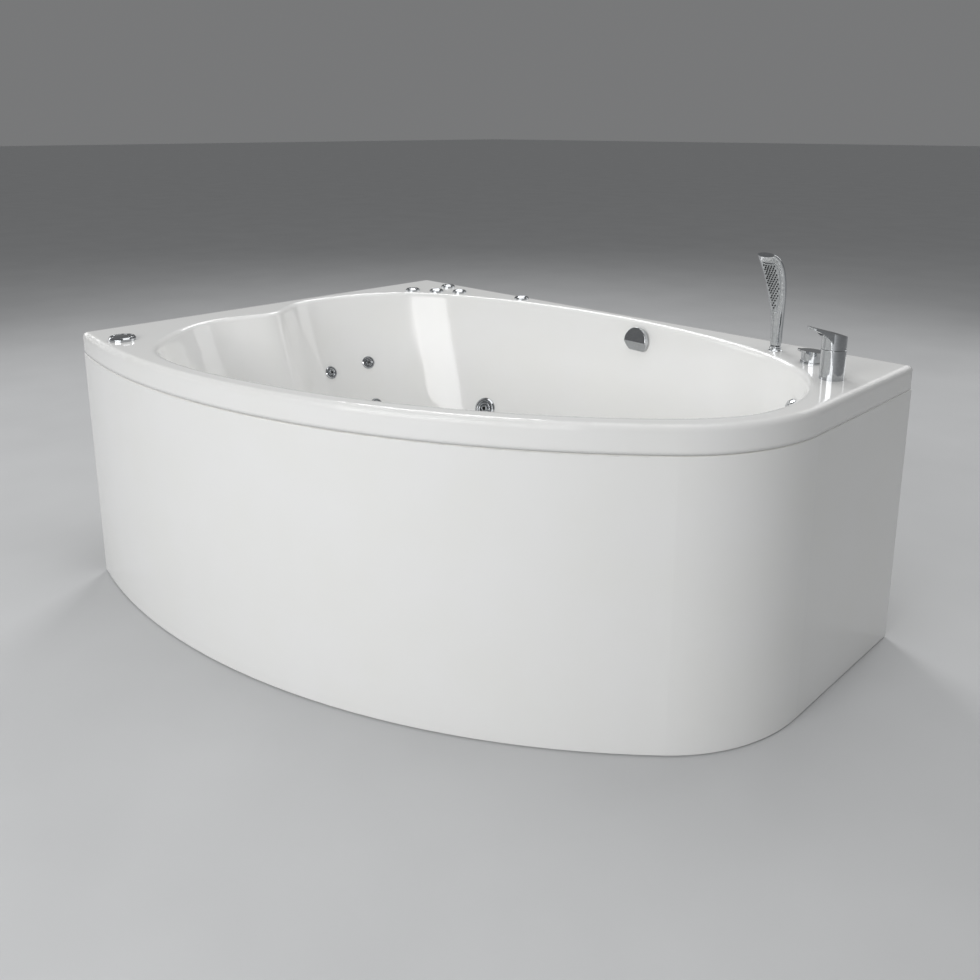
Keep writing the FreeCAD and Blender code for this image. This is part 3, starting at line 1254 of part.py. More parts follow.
def pin_rod(radius):
    """The lever's pin, made about the origin with the lever towards +X."""
    middle = Vector(-LEVER_PIN_BACK, 0, MIXER_PARTING + LEVER_PIN_RISE)
    return rod(middle + TO_FRONT * LEVER_PIN_HALF, middle + TO_BACK * LEVER_PIN_HALF, radius)


def mixer_stem():
    """Turning cartridge stem with the cross hole for the lever's pin."""
    foot = MIXER_PARTING - MIXER_STEM_DEPTH + FREE_GAP
    stem = rod(UP * foot, UP * (MIXER_PARTING + MIXER_STEM_RISE), MIXER_STEM)
    return faced(stem.cut(pin_rod(LEVER_PIN + RUNNING_GAP / 2)), deck(MIXER_AT), TAP_FACING)


def lever_pin():
    return faced(pin_rod(LEVER_PIN), deck(MIXER_AT), TAP_FACING)


def mixer_lever():
    """Lever cap, hollow round the stem and relieved behind the pin so that it can tilt."""
    bottom = MIXER_PARTING + FREE_GAP
    sizes = (MIXER_RADIUS, bottom, MIXER_SHOULDER, LEVER_REACH, LEVER_TOP, LEVER_TIP, LEVER_TIP_WIDTH)
    cap = lever_solid(*sizes)
    side = MIXER_STEM + LEVER_ROOM_SIDE
    ceiling = MIXER_PARTING + MIXER_STEM_RISE + LEVER_ROOM_TOP
    room_rear = Vector(-MIXER_STEM - LEVER_ROOM_BACK, -side, bottom - CUT_MARGIN)
    room = box(room_rear, Vector(MIXER_STEM + LEVER_ROOM_FRONT, side, ceiling))
    pin_height = MIXER_PARTING + LEVER_PIN_RISE
    lift = math.radians(LEVER_LIFT + LIFT_MARGIN)
    drop = pin_height - bottom
    rear = MIXER_RADIUS - LEVER_PIN_BACK + CUT_MARGIN
    start = Vector(-LEVER_PIN_BACK, 0, pin_height - drop / math.cos(lift))
    finish = Vector(-LEVER_PIN_BACK - rear, 0, pin_height - (drop - rear * math.sin(lift)) / math.cos(lift))
    low = Vector(finish.x, 0, bottom - CUT_MARGIN)
    under = Vector(start.x, 0, bottom - CUT_MARGIN)
    outline = [line(start, finish), line(finish, low), line(low, under), line(under, start)]
    relief = side_prism(outline, MIXER_RADIUS)
    hollow = cap.cut([room, relief, pin_rod(LEVER_PIN + RUNNING_GAP)])
    return faced(hollow, deck(MIXER_AT), TAP_FACING)


def filler_joint():
    """Where the filler's feed pipe meets its cup."""
    return behind_wall(FILLER, FILLER_CUP_DEPTH / 2)


def tap_valves():
    """Brass blocks under the mixer and the diverter; the mixer's has hot and cold inlets to the back wall."""
    top = deck(MIXER_AT, SHANK_END)
    bottom = top + DOWN * VALVE_BLOCK_HEIGHT
    wide, deep, high = MANIFOLD
    manifold = box(bottom + Vector(-wide / 2, -deep / 2, -high), bottom + Vector(wide / 2, deep / 2, 0))
    inlets = []
    for side in (-0.5, 0.5):
        start = bottom + Vector(side * INLET_SPACING, deep / 2, -high / 2)
        finish = start + TO_BACK * INLET_LENGTH
        inlets.append(rod(start, finish, INLET_RADIUS).cut(rod(start, finish, INLET_RADIUS - INLET_WALL)))
    mixer_block = rod(bottom, top, VALVE_BLOCK).fuse([manifold] + inlets).removeSplitter()
    foot = spot(*DIVERTER_AT, filler_joint().z - LINK_DROP)
    return group([mixer_block, rod(foot, deck(DIVERTER_AT, SHANK_END), VALVE_BLOCK)])


def filler_cup():
    """Cup behind the wall that the filler screws into."""
    seat, inward, front = FILLER
    outer = FILLER_BODY + FILLER_CUP_WALL
    back = -front - FILLER_CUP_DEPTH
    floor = back + FILLER_CUP_WALL
    return turned([
        (0, back), (outer, back, FILLER_CUP_ROUND), (outer, -front), (FILLER_MOUTH, -front),
        (FILLER_MOUTH, floor), (0, floor),
    ], seat, inward)


def tap_pipes():
    """Pipes from the mixer to the diverter and on to the cup that the wall filler screws into."""
    joint = filler_joint()
    level = RIM_HEIGHT + SHANK_END - LINK_DROP
    blocks = []
    for place in (MIXER_AT, DIVERTER_AT):
        blocks.append(rod(spot(*place, joint.z - VALVE_BLOCK), deck(place), VALVE_BLOCK + RUNNING_GAP))
    link = rod(spot(*MIXER_AT, level), spot(*DIVERTER_AT, level), LINK_PIPE).cut(blocks)
    cup_radius = FILLER_BODY + FILLER_CUP_WALL + RUNNING_GAP
    cup_room = rod(FILLER[0], behind_wall(FILLER, 2 * FILLER_CUP_DEPTH), cup_radius)
    feed = rod(spot(*DIVERTER_AT, joint.z), joint, LINK_PIPE).cut(blocks + [cup_room])
    return group([link, feed, filler_cup()])


def deck_nut(place, shank, outer):
    """Flanged ring nut that pulls a deck fitting down from below."""
    bore = shank + RUNNING_GAP
    neck = outer - NUT_FLANGE
    profile = [
        (bore, -TAP_NUT_HEIGHT), (neck, -TAP_NUT_HEIGHT), (neck, -NUT_FLANGE), (outer, -NUT_FLANGE),
        (outer, 0), (bore, 0),
    ]
    return turned(profile, deck(place, -SHELL_WALL))


def deck_nuts():
    """One nut under each deck fitting."""
    nuts = [deck_nut(place, TAP_SHANK, TAP_NUT) for place in (MIXER_AT, DIVERTER_AT)]
    nuts.append(deck_nut(SHOWER_AT, SHOWER_SLEEVE - SHOWER_SLEEVE_STEP, TAP_NUT - NUT_FLANGE))
    nuts += [deck_nut(place, CONTROL_SHANK, CONTROL_RADIUS - CONTROL_NUT_INSET) for place in CONTROLS_AT]
    nuts.append(deck_nut(MAIN_CONTROL_AT, MAIN_CONTROL_SHANK, MAIN_CONTROL_RADIUS))
    return group(nuts)


def diverter_base():
    """Rose on the deck with a threaded shank and the stem's bearing."""
    bore = DIVERTER_STEM + RUNNING_GAP
    rose = DIVERTER_RADIUS + DIVERTER_ROSE_RIM
    return turned([
        (bore, SHANK_END), (TAP_SHANK, SHANK_END), (TAP_SHANK, 0), (rose, 0),
        (rose, DIVERTER_ROSE, DIVERTER_ROSE_ROUND), (bore, DIVERTER_ROSE),
    ], deck(DIVERTER_AT))


def diverter_knob():
    """Turning cap with a short tongue, on a stem in the rose."""
    bottom = DIVERTER_ROSE + FREE_GAP
    head = (DIVERTER_RADIUS, bottom, DIVERTER_SHOULDER)
    sizes = head + (DIVERTER_REACH, DIVERTER_TOP, DIVERTER_TIP, DIVERTER_TIP_WIDTH)
    stem = rod(DOWN * DIVERTER_STEM_DEPTH, UP * bottom, DIVERTER_STEM)
    return faced(lever_solid(*sizes).fuse(stem).removeSplitter(), deck(DIVERTER_AT), TAP_FACING)


def filler_nozzle():
    """Round filler in the basin wall, fed from the diverter."""
    seat, inward, behind = FILLER
    return turned([
        (FILLER_BORE, -behind), (FILLER_BODY, -behind), (FILLER_BODY, 0), (FILLER_RADIUS, 0),
        (FILLER_RADIUS, FILLER_EDGE, FILLER_ROUND),
        (FILLER_RADIUS - FILLER_SLOPE, FILLER_PROUD, FILLER_ROUND),
        (FILLER_MOUTH, FILLER_PROUD, FILLER_ROUND), (FILLER_BORE, FILLER_MOUTH_FLOOR),
    ], seat, inward)


# Hand shower


def shower_sleeve():
    """Deck sleeve that holds the hand shower's cone."""
    bore = CONE_RADIUS + RUNNING_GAP
    shank = SHOWER_SLEEVE - SHOWER_SLEEVE_STEP
    return turned([
        (bore, SHANK_END), (shank, SHANK_END), (shank, 0), (SHOWER_SLEEVE + SHOWER_SLEEVE_STEP, 0),
        (SHOWER_SLEEVE, SHOWER_SLEEVE_STEP), (SHOWER_SLEEVE, SHOWER_SLEEVE_RISE, SHOWER_SLEEVE_ROUND),
        (bore, SHOWER_SLEEVE_RISE),
    ], deck(SHOWER_AT))


def hose_cone():
    """Cone nut at the end of the shower hose; it slides out of the sleeve with the hand shower."""
    return turned([
        (CONE_BORE, -CONE_LENGTH), (CONE_RADIUS, -CONE_LENGTH), (CONE_RADIUS, SEAT_GAP),
        (CONE_HEAD, SEAT_GAP),
        (CONE_HEAD, CONE_HEAD_EDGE, CONE_HEAD_ROUND), (CONE_NOSE, CONE_HEAD_HEIGHT),
        (CONE_BORE, CONE_HEAD_HEIGHT),
    ], deck(SHOWER_AT, SHOWER_SLEEVE_RISE))


def shower_loft(sections, thickness_share=1.0, forward=0.0):
    """Smooth bar through elliptical sections along the bent axis; stands on the cone's head."""
    wires = []
    for height, reach, tilt, width, thickness in sections:
        turn = FreeCAD.Rotation(TO_BACK, tilt)
        middle = Vector(reach, 0, height) + turn.multVec(TO_RIGHT) * (thickness * forward)
        across, along = width / 2, thickness * thickness_share / 2
        wire = Part.Wire([Part.Ellipse(ORIGIN, across, along).toShape()])
        wire.rotate(ORIGIN, UP, FULL_TURN / 4)
        wire.Placement = FreeCAD.Placement(middle, turn).multiply(wire.Placement)
        wires.append(wire)
    base = deck(SHOWER_AT, SHOWER_SLEEVE_RISE + CONE_HEAD_HEIGHT + SEAT_GAP)
    return faced(Part.makeLoft(wires, True, False, False), base, SHOWER_FACING)


def hand_shower():
    """Curved hand shower that widens into its head."""
    return shower_loft(SHOWER_SECTIONS)


def spray_plate():
    """Low pad for the spray holes on the hand shower's hollow side."""
    sections = []
    for section, share in zip(SHOWER_SECTIONS[SPRAY_SECTIONS], SPRAY_WIDTHS):
        height, reach, tilt, width, thickness = section
        sections.append((height, reach, tilt, width * share, thickness))
    gap = 2 * SEAT_GAP
    seat = []
    for height, reach, tilt, width, thick in SHOWER_SECTIONS:
        seat.append((height, reach, tilt, width + gap, thick + gap))
    return shower_loft(sections, SPRAY_THICKNESS, SPRAY_FORWARD).cut(shower_loft(seat))


# Massage system


def jet_bezel(seat, inward, behind):
    """Fixed rim of a jet with its neck through the wall."""
    neck = JET_BORE + JET_NECK_WALL
    edge, crest, inner = JET_ROUNDS
    return turned([
        (JET_BORE, -behind), (neck, -behind), (neck, 0), (JET_RADIUS, 0), (JET_RADIUS, JET_EDGE, edge),
        (JET_RADIUS - JET_SLOPE, JET_PROUD, crest), (JET_BORE + JET_LAND, JET_PROUD, inner),
        (JET_BORE, JET_PROUD - JET_LAND),
    ], seat, inward)


def jet_bezels():
    return group([jet_bezel(*jet) for jet in JETS])


def jet_nozzle(seat, inward):
    """Turning nozzle: a raised grip ring with notches round a central outlet."""
    rim = JET_BORE - FREE_GAP
    top = JET_PROUD + NOZZLE_RISE
    outlet = NOZZLE_OUTLET + NOZZLE_OUTLET_WALL
    outlet_top = JET_PROUD + NOZZLE_OUTLET_RISE
    grip = rim - NOZZLE_GRIP
    ring = turned([
        (NOZZLE_OUTLET, -NOZZLE_DEPTH), (rim, -NOZZLE_DEPTH), (rim, top, NOZZLE_ROUND),
        (grip, top, NOZZLE_ROUND),
        (grip - NOZZLE_DISH_SLOPE, NOZZLE_DISH), (outlet, NOZZLE_DISH),
        (outlet, outlet_top, NOZZLE_OUTLET_ROUND),
        (NOZZLE_OUTLET, outlet_top, NOZZLE_OUTLET_ROUND),
    ])
    notches = []
    for i in range(NOZZLE_NOTCHES):
        foot = compass(FULL_TURN * i / NOZZLE_NOTCHES) * rim + UP * NOZZLE_NOTCH_FLOOR
        notches.append(rod(foot, foot + UP * outlet_top, NOZZLE_NOTCH))
    return placed(ring.cut(notches), seat, inward)


def jet_body(seat, inward, behind):
    """Cup behind the wall of a jet, with a hose tail at its back."""
    front, back = -behind, -behind - JET_BODY_DEPTH
    neck = JET_BODY - JET_FLANGE_RIM
    rear = neck - JET_BODY_TAPER
    return turned([
        (0, back - JET_TAIL), (JET_HOSE, back - JET_TAIL, JET_TAIL_ROUND), (JET_HOSE, back),
        (rear, back, JET_BODY_ROUND),
        (neck, front - JET_FLANGE), (JET_BODY, front - JET_FLANGE), (JET_BODY, front), (JET_BORE, front),
        (JET_BORE, front - JET_BODY_WALL), (rear - JET_BODY_WALL, back + JET_BODY_WALL),
        (0, back + JET_BODY_WALL),
    ], seat, inward)


def jet_bodies():
    return group([jet_body(*jet) for jet in JETS])


def back_jet_bezel(seat, inward, behind):
    """Small fixed jet in the backrest: a stepped rim round a raised outlet."""
    edge, crest, inner = BACK_JET_ROUNDS
    dish = BACK_JET_DISH - BACK_JET_DISH_SLOPE
    return turned([
        (BACK_JET_BORE, -behind), (BACK_JET_NECK, -behind), (BACK_JET_NECK, 0), (BACK_JET_RADIUS, 0),
        (BACK_JET_RADIUS, BACK_JET_EDGE, edge), (BACK_JET_RADIUS - BACK_JET_SLOPE, BACK_JET_RIM, crest),
        (BACK_JET_DISH, BACK_JET_RIM, inner), (dish, BACK_JET_DISH_FLOOR),
        (BACK_JET_OUTLET, BACK_JET_DISH_FLOOR),
        (BACK_JET_OUTLET, BACK_JET_RISE, edge), (BACK_JET_BORE, BACK_JET_RISE, inner),
    ], seat, inward)


def back_jet_bezels():
    return group([back_jet_bezel(*jet) for jet in BACK_JETS])


def back_jet_body(seat, inward, behind):
    """Plug behind the wall of a back jet, with a hose tail at its back."""
    front, back = -behind, -behind - BACK_JET_BODY_DEPTH
    neck = BACK_JET_BODY - BACK_JET_BODY_RIM
    return turned([
        (0, back - BACK_JET_TAIL), (AIR_HOSE, back - BACK_JET_TAIL), (AIR_HOSE, back),
        (neck, back, BACK_JET_BODY_ROUND),
        (neck, front - BACK_JET_FLANGE), (BACK_JET_BODY, front - BACK_JET_FLANGE), (BACK_JET_BODY, front),
        (0, front),
    ], seat, inward)


def back_jet_bodies():
    return group([back_jet_body(*jet) for jet in BACK_JETS])


def suction_grille():
    """Domed intake cover with a ring of radial slots."""
    seat, inward, behind = SUCTION
    edge, shoulder = SUCTION_ROUNDS
    inner = SUCTION_RADIUS - SUCTION_RIM
    dome = turned([
        (0, SUCTION_DOME - SUCTION_SKIN), (inner, SUCTION_SHOULDER - SUCTION_SKIN), (inner, 0),
        (SUCTION_RADIUS, 0),
        (SUCTION_RADIUS, SUCTION_EDGE, edge), (SUCTION_RADIUS - SUCTION_SLOPE, SUCTION_SHOULDER, shoulder),
        (0, SUCTION_DOME),
    ])
    slots = []
    for i in range(SUCTION_SLOTS):
        corner = Vector(SUCTION_SLOT_START, -SUCTION_SLOT / 2, 0)
        slot = Part.makeBox(SUCTION_SLOT_LENGTH, SUCTION_SLOT, 2 * SUCTION_DOME, corner)
        slots.append(faced(slot, ORIGIN, FULL_TURN * i / SUCTION_SLOTS))
    return placed(dome.cut(slots), seat, inward)


def suction_body():
    """Intake cup behind the wall with a tail for the pump's pipe."""
    seat, inward, behind = SUCTION
    back = -behind - SUCTION_BODY_DEPTH
    floor = back + SUCTION_BODY_FLOOR
    bore = SUCTION_NECK - SUCTION_WALL
    outer = SUCTION_NECK + SUCTION_FLANGE
    tail = SUCTION_PIPE - PIPE_WALL - RUNNING_GAP
    way = tail - SUCTION_WALL
    return turned([
        (way, back - SUCTION_TAIL), (tail, back - SUCTION_TAIL), (tail, back),
        (outer, back, SUCTION_BODY_ROUND),
        (outer, -behind), (SUCTION_NECK, -behind), (SUCTION_NECK, -SEAT_GAP), (bore, -SEAT_GAP),
        (bore, floor), (way, floor),
    ], seat, inward)


def ring_edges(level):
    """Open ring run: up the right end, along the back wall and the left wall, then along the bow."""
    bow = spot(*FRONT_CENTRE, level)
    turn_left = RING_INSET + RING_BEND
    turn_back = front_edge(turn_left, FRONT_RING_INSET + RING_BEND)
    turn = spot(turn_left, turn_back, level)
    stop_left = CORNER_CENTRE[0] + RING_STOP
    stop = spot(stop_left, front_edge(stop_left, FRONT_RING_INSET), level)
    corners = [
        spot(LENGTH - RING_INSET, RIGHT_STRAIGHT + RING_START, level),
        spot(LENGTH - RING_INSET, RING_INSET, level),
        spot(RING_INSET, RING_INSET, level),
        spot(RING_INSET, turn_back, level),
    ]
    meet = bearing(bow, turn) % FULL_TURN
    finish = bearing(bow, stop) % FULL_TURN
    return bent_path(corners, RING_BEND) + [
        level_arc(turn, RING_BEND, FULL_TURN / 2, meet),
        level_arc(bow, FRONT_RADIUS - FRONT_RING_INSET, meet, finish),
    ]


def water_ring():
    """Water main round the basin."""
    return swept(ring_edges(WATER_RING_LEVEL), WATER_RING)


def air_ring():
    """Air main round the basin above the water main."""
    return swept(ring_edges(AIR_RING_LEVEL), AIR_RING)


def nearest_on(edges, point):
    """Nearest point of a run of edges."""
    return Part.Vertex(point).distToShape(Part.Wire(edges))[1][0][1]


def jet_hose(tail, inward, main, main_radius, radius):
    """Straight hose from a fitting's tail to the nearest point of a main, cut flush with the tail's end."""
    reach = nearest_on(main, tail)
    hose = rod(tail - (reach - tail).normalize() * 2 * radius, reach, radius)
    tail_side = rod(tail, tail + inward * 4 * radius, 4 * radius)
    return hose.cut(tail_side).cut(swept(main, main_radius + RUNNING_GAP))


def jet_hoses():
    """Short hoses from the water main to each jet and from the air main to each back jet."""
    water, air = ring_edges(WATER_RING_LEVEL), ring_edges(AIR_RING_LEVEL)
    hoses = []
    for jet in JETS:
        tail = behind_wall(jet, JET_BODY_DEPTH + JET_TAIL)
        hoses.append(jet_hose(tail, jet[1], water, WATER_RING, JET_HOSE))
    for jet in BACK_JETS:
        tail = behind_wall(jet, BACK_JET_BODY_DEPTH + BACK_JET_TAIL)
        hoses.append(jet_hose(tail, jet[1], air, AIR_RING, AIR_HOSE))
    return group(hoses)


def pump_axis(from_back):
    """A place on the pump's axis, which runs along the left wall."""
    return spot(PUMP_FROM_LEFT, from_back, PUMP_AXIS_LEVEL)


def pump_wet_end():
    """Volute with its inlet towards the front and a bent riser to the water main."""
    back_round, front_round, cone_round = PUMP_ROUNDS
    inlet = SUCTION_PIPE + PUMP_INLET_WALL
    socket = SUCTION_PIPE + RUNNING_GAP
    shoulder = PUMP_VOLUTE + PUMP_CONE
    floor = PUMP_WET_END - PUMP_INLET_SOCKET
    volute = turned([
        (0, 0), (PUMP_RADIUS, 0, back_round), (PUMP_RADIUS, PUMP_VOLUTE, front_round),
        (PUMP_RADIUS - PUMP_CONE_FALL, shoulder, cone_round), (inlet, shoulder), (inlet, PUMP_WET_END),
        (socket, PUMP_WET_END), (socket, floor), (0, floor),
    ], pump_axis(PUMP_BACK), TO_FRONT)
    riser_left = PUMP_FROM_LEFT - PUMP_RADIUS + WATER_RING
    riser_back = PUMP_BACK + PUMP_RISER
    corners = [
        spot(riser_left, riser_back, PUMP_AXIS_LEVEL),
        spot(riser_left, riser_back, WATER_RING_LEVEL),
        spot(RING_INSET, riser_back, WATER_RING_LEVEL),
    ]
    riser = swept(bent_path(corners, PUMP_RISER_BEND), WATER_RING)
    main_room = swept(ring_edges(WATER_RING_LEVEL), WATER_RING + RUNNING_GAP)
    return volute.fuse(riser).cut(main_room).removeSplitter()


def pump_motor():
    """Motor body with cooling ribs, a terminal box and a fan cover."""
    plain = MOTOR_RADIUS - MOTOR_SKIN
    cover = MOTOR_LENGTH - MOTOR_COVER
    core = turned([
        (0, 0), (plain, 0), (plain, cover), (MOTOR_RADIUS, cover),
        (MOTOR_RADIUS, MOTOR_LENGTH, MOTOR_COVER_ROUND),
        (0, MOTOR_LENGTH),
    ], pump_axis(PUMP_BACK), TO_BACK)
    ribs = []
    for i in range(MOTOR_RIBS):
        corner = Vector(0, -MOTOR_RIB / 2, MOTOR_RIB_END)
        rib = Part.makeBox(plain + MOTOR_RIB_DEPTH, MOTOR_RIB, cover - 2 * MOTOR_RIB_END, corner)
        turned_rib = faced(rib, ORIGIN, FULL_TURN * i / MOTOR_RIBS)
        ribs.append(placed(group([turned_rib]), pump_axis(PUMP_BACK), TO_BACK))
    deep, long, high = TERMINAL_BOX
    middle = pump_axis(PUMP_BACK - TERMINAL_BOX_BACK)
    outer = middle + Vector(-MOTOR_RADIUS - deep, -long / 2, -high / 2)
    terminal = box(outer, middle + Vector(-plain / 2, long / 2, high / 2))
    terminal = terminal.makeFillet(TERMINAL_BOX_ROUND, [edge for edge in terminal.Edges if is_upright(edge)])
    return core.fuse([terminal] + ribs).removeSplitter()


def pump_bracket():
    """Plate across the two long rails with saddles under the motor's fan cover and the wet end."""
    front, back = PUMP_BACK + PUMP_PLATE_FRONT, PUMP_BACK - MOTOR_LENGTH
    half = PUMP_PLATE_HALF
    low = LONG_RAIL_TOP
    plate = box(spot(PUMP_FROM_LEFT - half, front, low), spot(PUMP_FROM_LEFT + half, back, low + PUMP_PLATE))
    half = PUMP_PLATE_HALF - SADDLE_INSET
    saddles = []
    for stop in (front - SADDLE, back + SADDLE_BACK):
        foot = spot(PUMP_FROM_LEFT - half, stop + SADDLE, low)
        saddles.append(box(foot, spot(PUMP_FROM_LEFT + half, stop, PUMP_AXIS_LEVEL - SADDLE_DROP)))
    wet = rod(pump_axis(PUMP_FRONT), pump_axis(PUMP_BACK), PUMP_RADIUS + SEAT_GAP)
    motor = rod(pump_axis(PUMP_BACK), pump_axis(back - CUT_MARGIN), MOTOR_RADIUS + SEAT_GAP)
    return plate.fuse(saddles).cut([wet, motor]).removeSplitter()


def suction_pipe():
    """Pipe from the intake round to the pump's inlet."""
    start = behind_wall(SUCTION, SUCTION_BODY_DEPTH)
    away = behind_wall(SUCTION, SUCTION_BODY_DEPTH + SUCTION_RUN_OUT)
    turn = pump_axis(DEPTH / 2 - away.y)
    inlet = pump_axis(PUMP_FRONT - PUMP_INLET_LAP)
    return tube(bent_path([start, away, turn, inlet], SUCTION_BEND), SUCTION_PIPE)


def control_box():
    """Electrical box on the left cross rail, with a lid line and two cable glands."""
    wide, deep, high = CONTROL_BOX
    low = spot(CROSS_RAILS_AT[0] - wide / 2, CONTROL_BOX_BACK + deep, CROSS_RAIL_TOP)
    case = Part.makeBox(wide, deep, high, low)
    case = case.makeFillet(CONTROL_BOX_ROUND, [edge for edge in case.Edges if is_upright(edge)])
    lid = UP * (high - CONTROL_LID - CONTROL_LID_LINE)
    inner = Vector(CONTROL_LID_LINE, CONTROL_LID_LINE, 0)
    core = box(low + lid + inner, low + lid + Vector(wide, deep, CONTROL_LID_LINE) - inner)
    lid_line = box(low + lid - inner, low + lid + Vector(wide, deep, CONTROL_LID_LINE) + inner).cut(core)
    glands = []
    for side in (-0.5, 0.5):
        start = low + Vector(wide / 2 + side * GLAND_SPACING, 0, high / 2)
        glands.append(rod(start, start + TO_FRONT * GLAND_LENGTH, GLAND_RADIUS))
    return case.cut(lid_line).fuse(glands).removeSplitter()


# Deck controls


def control_bezel(place, radius, bore, shank, stem, rise):
    """Chrome rim on the deck with its threaded shank below."""
    foot = -SHELL_WALL - CONTROL_SHANK_DEPTH
    edge, crest, inner = CONTROL_ROUNDS
    return turned([
        (stem, foot), (shank, foot), (shank, 0), (radius, 0), (radius, rise * CONTROL_EDGE, edge),
        (radius - CONTROL_SLOPE, rise, crest), (bore, rise, inner), (bore, CONTROL_FLOOR),
        (stem, CONTROL_FLOOR),
    ], deck(place))


def control_bezels():
    sizes = (CONTROL_RADIUS, CONTROL_BORE, CONTROL_SHANK, CONTROL_STEM, CONTROL_RISE)
    return group([control_bezel(place, *sizes) for place in CONTROLS_AT])


def main_control_bezel():
    sizes = (MAIN_CONTROL_RADIUS, MAIN_CONTROL_BORE, MAIN_CONTROL_SHANK, MAIN_CONTROL_STEM, MAIN_CONTROL_RISE)
    return control_bezel(MAIN_CONTROL_AT, *sizes)


def push_button(place, bore, stem, rise):
    """Domed button on a guide stem."""
    cap, guide = bore - FREE_GAP, stem - RUNNING_GAP
    seat = CONTROL_FLOOR + BUTTON_TRAVEL + FREE_GAP
    edge, crown = BUTTON_ROUNDS
    return turned([
        (0, -CONTROL_STEM_DEPTH), (guide, -CONTROL_STEM_DEPTH), (guide, seat), (cap, seat),
        (cap, rise - BUTTON_EDGE, edge),
        (cap * BUTTON_CROWN, rise + BUTTON_DOME, crown), (0, rise + BUTTON_DOME),
    ], deck(place))


def air_regulator(place):
    """Turning cap with a raised grip bar across it."""
    cap, guide = CONTROL_BORE - FREE_GAP, CONTROL_STEM - RUNNING_GAP
    seat = CONTROL_FLOOR + FREE_GAP
    body = turned([
        (0, -CONTROL_STEM_DEPTH), (guide, -CONTROL_STEM_DEPTH), (guide, seat), (cap, seat),
        (cap, CONTROL_RISE, GRIP_ROUND), (0, CONTROL_RISE),
    ], deck(place))
    half = cap * GRIP_BAR_HALF
    foot = CONTROL_RISE - GRIP_BAR_SINK
    bar = box(Vector(-half, -GRIP_BAR / 2, foot), Vector(half, GRIP_BAR / 2, CONTROL_RISE + GRIP_BAR_RISE))
    bar = bar.makeFillet(GRIP_BAR_ROUND, [edge for edge in bar.Edges if edge.CenterOfMass.z > CONTROL_RISE])
    return body.fuse(faced(bar, deck(place), GRIP_BEARING)).removeSplitter()


def make_parts():
    """Every node by name."""
    makers = [
        tub_shell, base_board, apron_panel, apron_clips, frame_cross_rails, frame_long_rails, frame_posts,
        foot_studs,
        foot_nuts, foot_pads, wall_brackets, drain_flange, drain_body, drain_plug, waste_trap, overflow_body,
        overflow_knob, overflow_pipe, mixer_body, mixer_stem, lever_pin, mixer_lever, tap_valves,
        diverter_base,
        diverter_knob, tap_pipes, deck_nuts, shower_sleeve, hose_cone, hand_shower, spray_plate,
        filler_nozzle,
        jet_bezels, jet_bodies, back_jet_bezels, back_jet_bodies, suction_grille, suction_body, water_ring,
        air_ring,
        jet_hoses, pump_wet_end, pump_motor, pump_bracket, suction_pipe, control_box, control_bezels,
        main_control_bezel,
    ]
    parts = {maker.__name__: maker() for maker in makers}
    for i, (seat, inward, behind) in enumerate(JETS, 1):
        parts[f"jet_nozzle_{i}"] = jet_nozzle(seat, inward)
    for i, place in enumerate(REGULATORS_AT, 1):
        parts[f"air_regulator_{i}"] = air_regulator(place)
    parts["pump_button"] = push_button(PUMP_BUTTON_AT, CONTROL_BORE, CONTROL_STEM, CONTROL_RISE)
    parts["blower_button"] = push_button(BLOWER_BUTTON_AT, CONTROL_BORE, CONTROL_STEM, CONTROL_RISE)
    main_sizes = (MAIN_CONTROL_BORE, MAIN_CONTROL_STEM, MAIN_CONTROL_RISE)
    parts["main_button"] = push_button(MAIN_CONTROL_AT, *main_sizes)
    return parts


os.makedirs("parts", exist_ok=True)
for name, shape in make_parts().items():
    shape.exportStep(f"parts/{name}.step")
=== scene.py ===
"""Looks of an asymmetric corner massage bath: white acrylic, chrome fittings, frame and plumbing under it.

Everything is in metres, in the part's own frame: +X towards the taps' end, +Y towards the back wall, +Z up.
"""
import json
import math

import bpy
import numpy as np
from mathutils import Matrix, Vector
from mathutils.bvhtree import BVHTree


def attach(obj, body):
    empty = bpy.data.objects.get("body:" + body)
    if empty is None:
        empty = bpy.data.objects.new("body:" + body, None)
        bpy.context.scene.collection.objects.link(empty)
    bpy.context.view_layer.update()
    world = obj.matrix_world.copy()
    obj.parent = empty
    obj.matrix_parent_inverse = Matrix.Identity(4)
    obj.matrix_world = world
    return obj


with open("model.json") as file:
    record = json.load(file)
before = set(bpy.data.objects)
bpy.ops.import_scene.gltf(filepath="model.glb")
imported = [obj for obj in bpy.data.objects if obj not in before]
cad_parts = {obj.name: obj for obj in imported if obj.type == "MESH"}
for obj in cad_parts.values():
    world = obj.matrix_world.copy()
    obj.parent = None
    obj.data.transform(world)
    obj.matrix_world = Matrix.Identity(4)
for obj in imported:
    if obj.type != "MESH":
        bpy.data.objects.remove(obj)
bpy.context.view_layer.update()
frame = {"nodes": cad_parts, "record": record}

MM = 0.001
UP = Vector((0, 0, 1))
IMAGE_SIDE = 980           # pixels of the square picture

# Camera, fitted to the photograph's straight edges
CAMERA_AT = Vector((1.5889, -1.4803, 1.2120))
CAMERA_BEARING = 45.2      # degrees about +Z
CAMERA_PITCH = 13.07       # degrees below the horizon
FOCAL_PIXELS = 916.36
SENSOR = 36.0              # mm
PRINCIPAL_POINT = (490.47, 338.55)

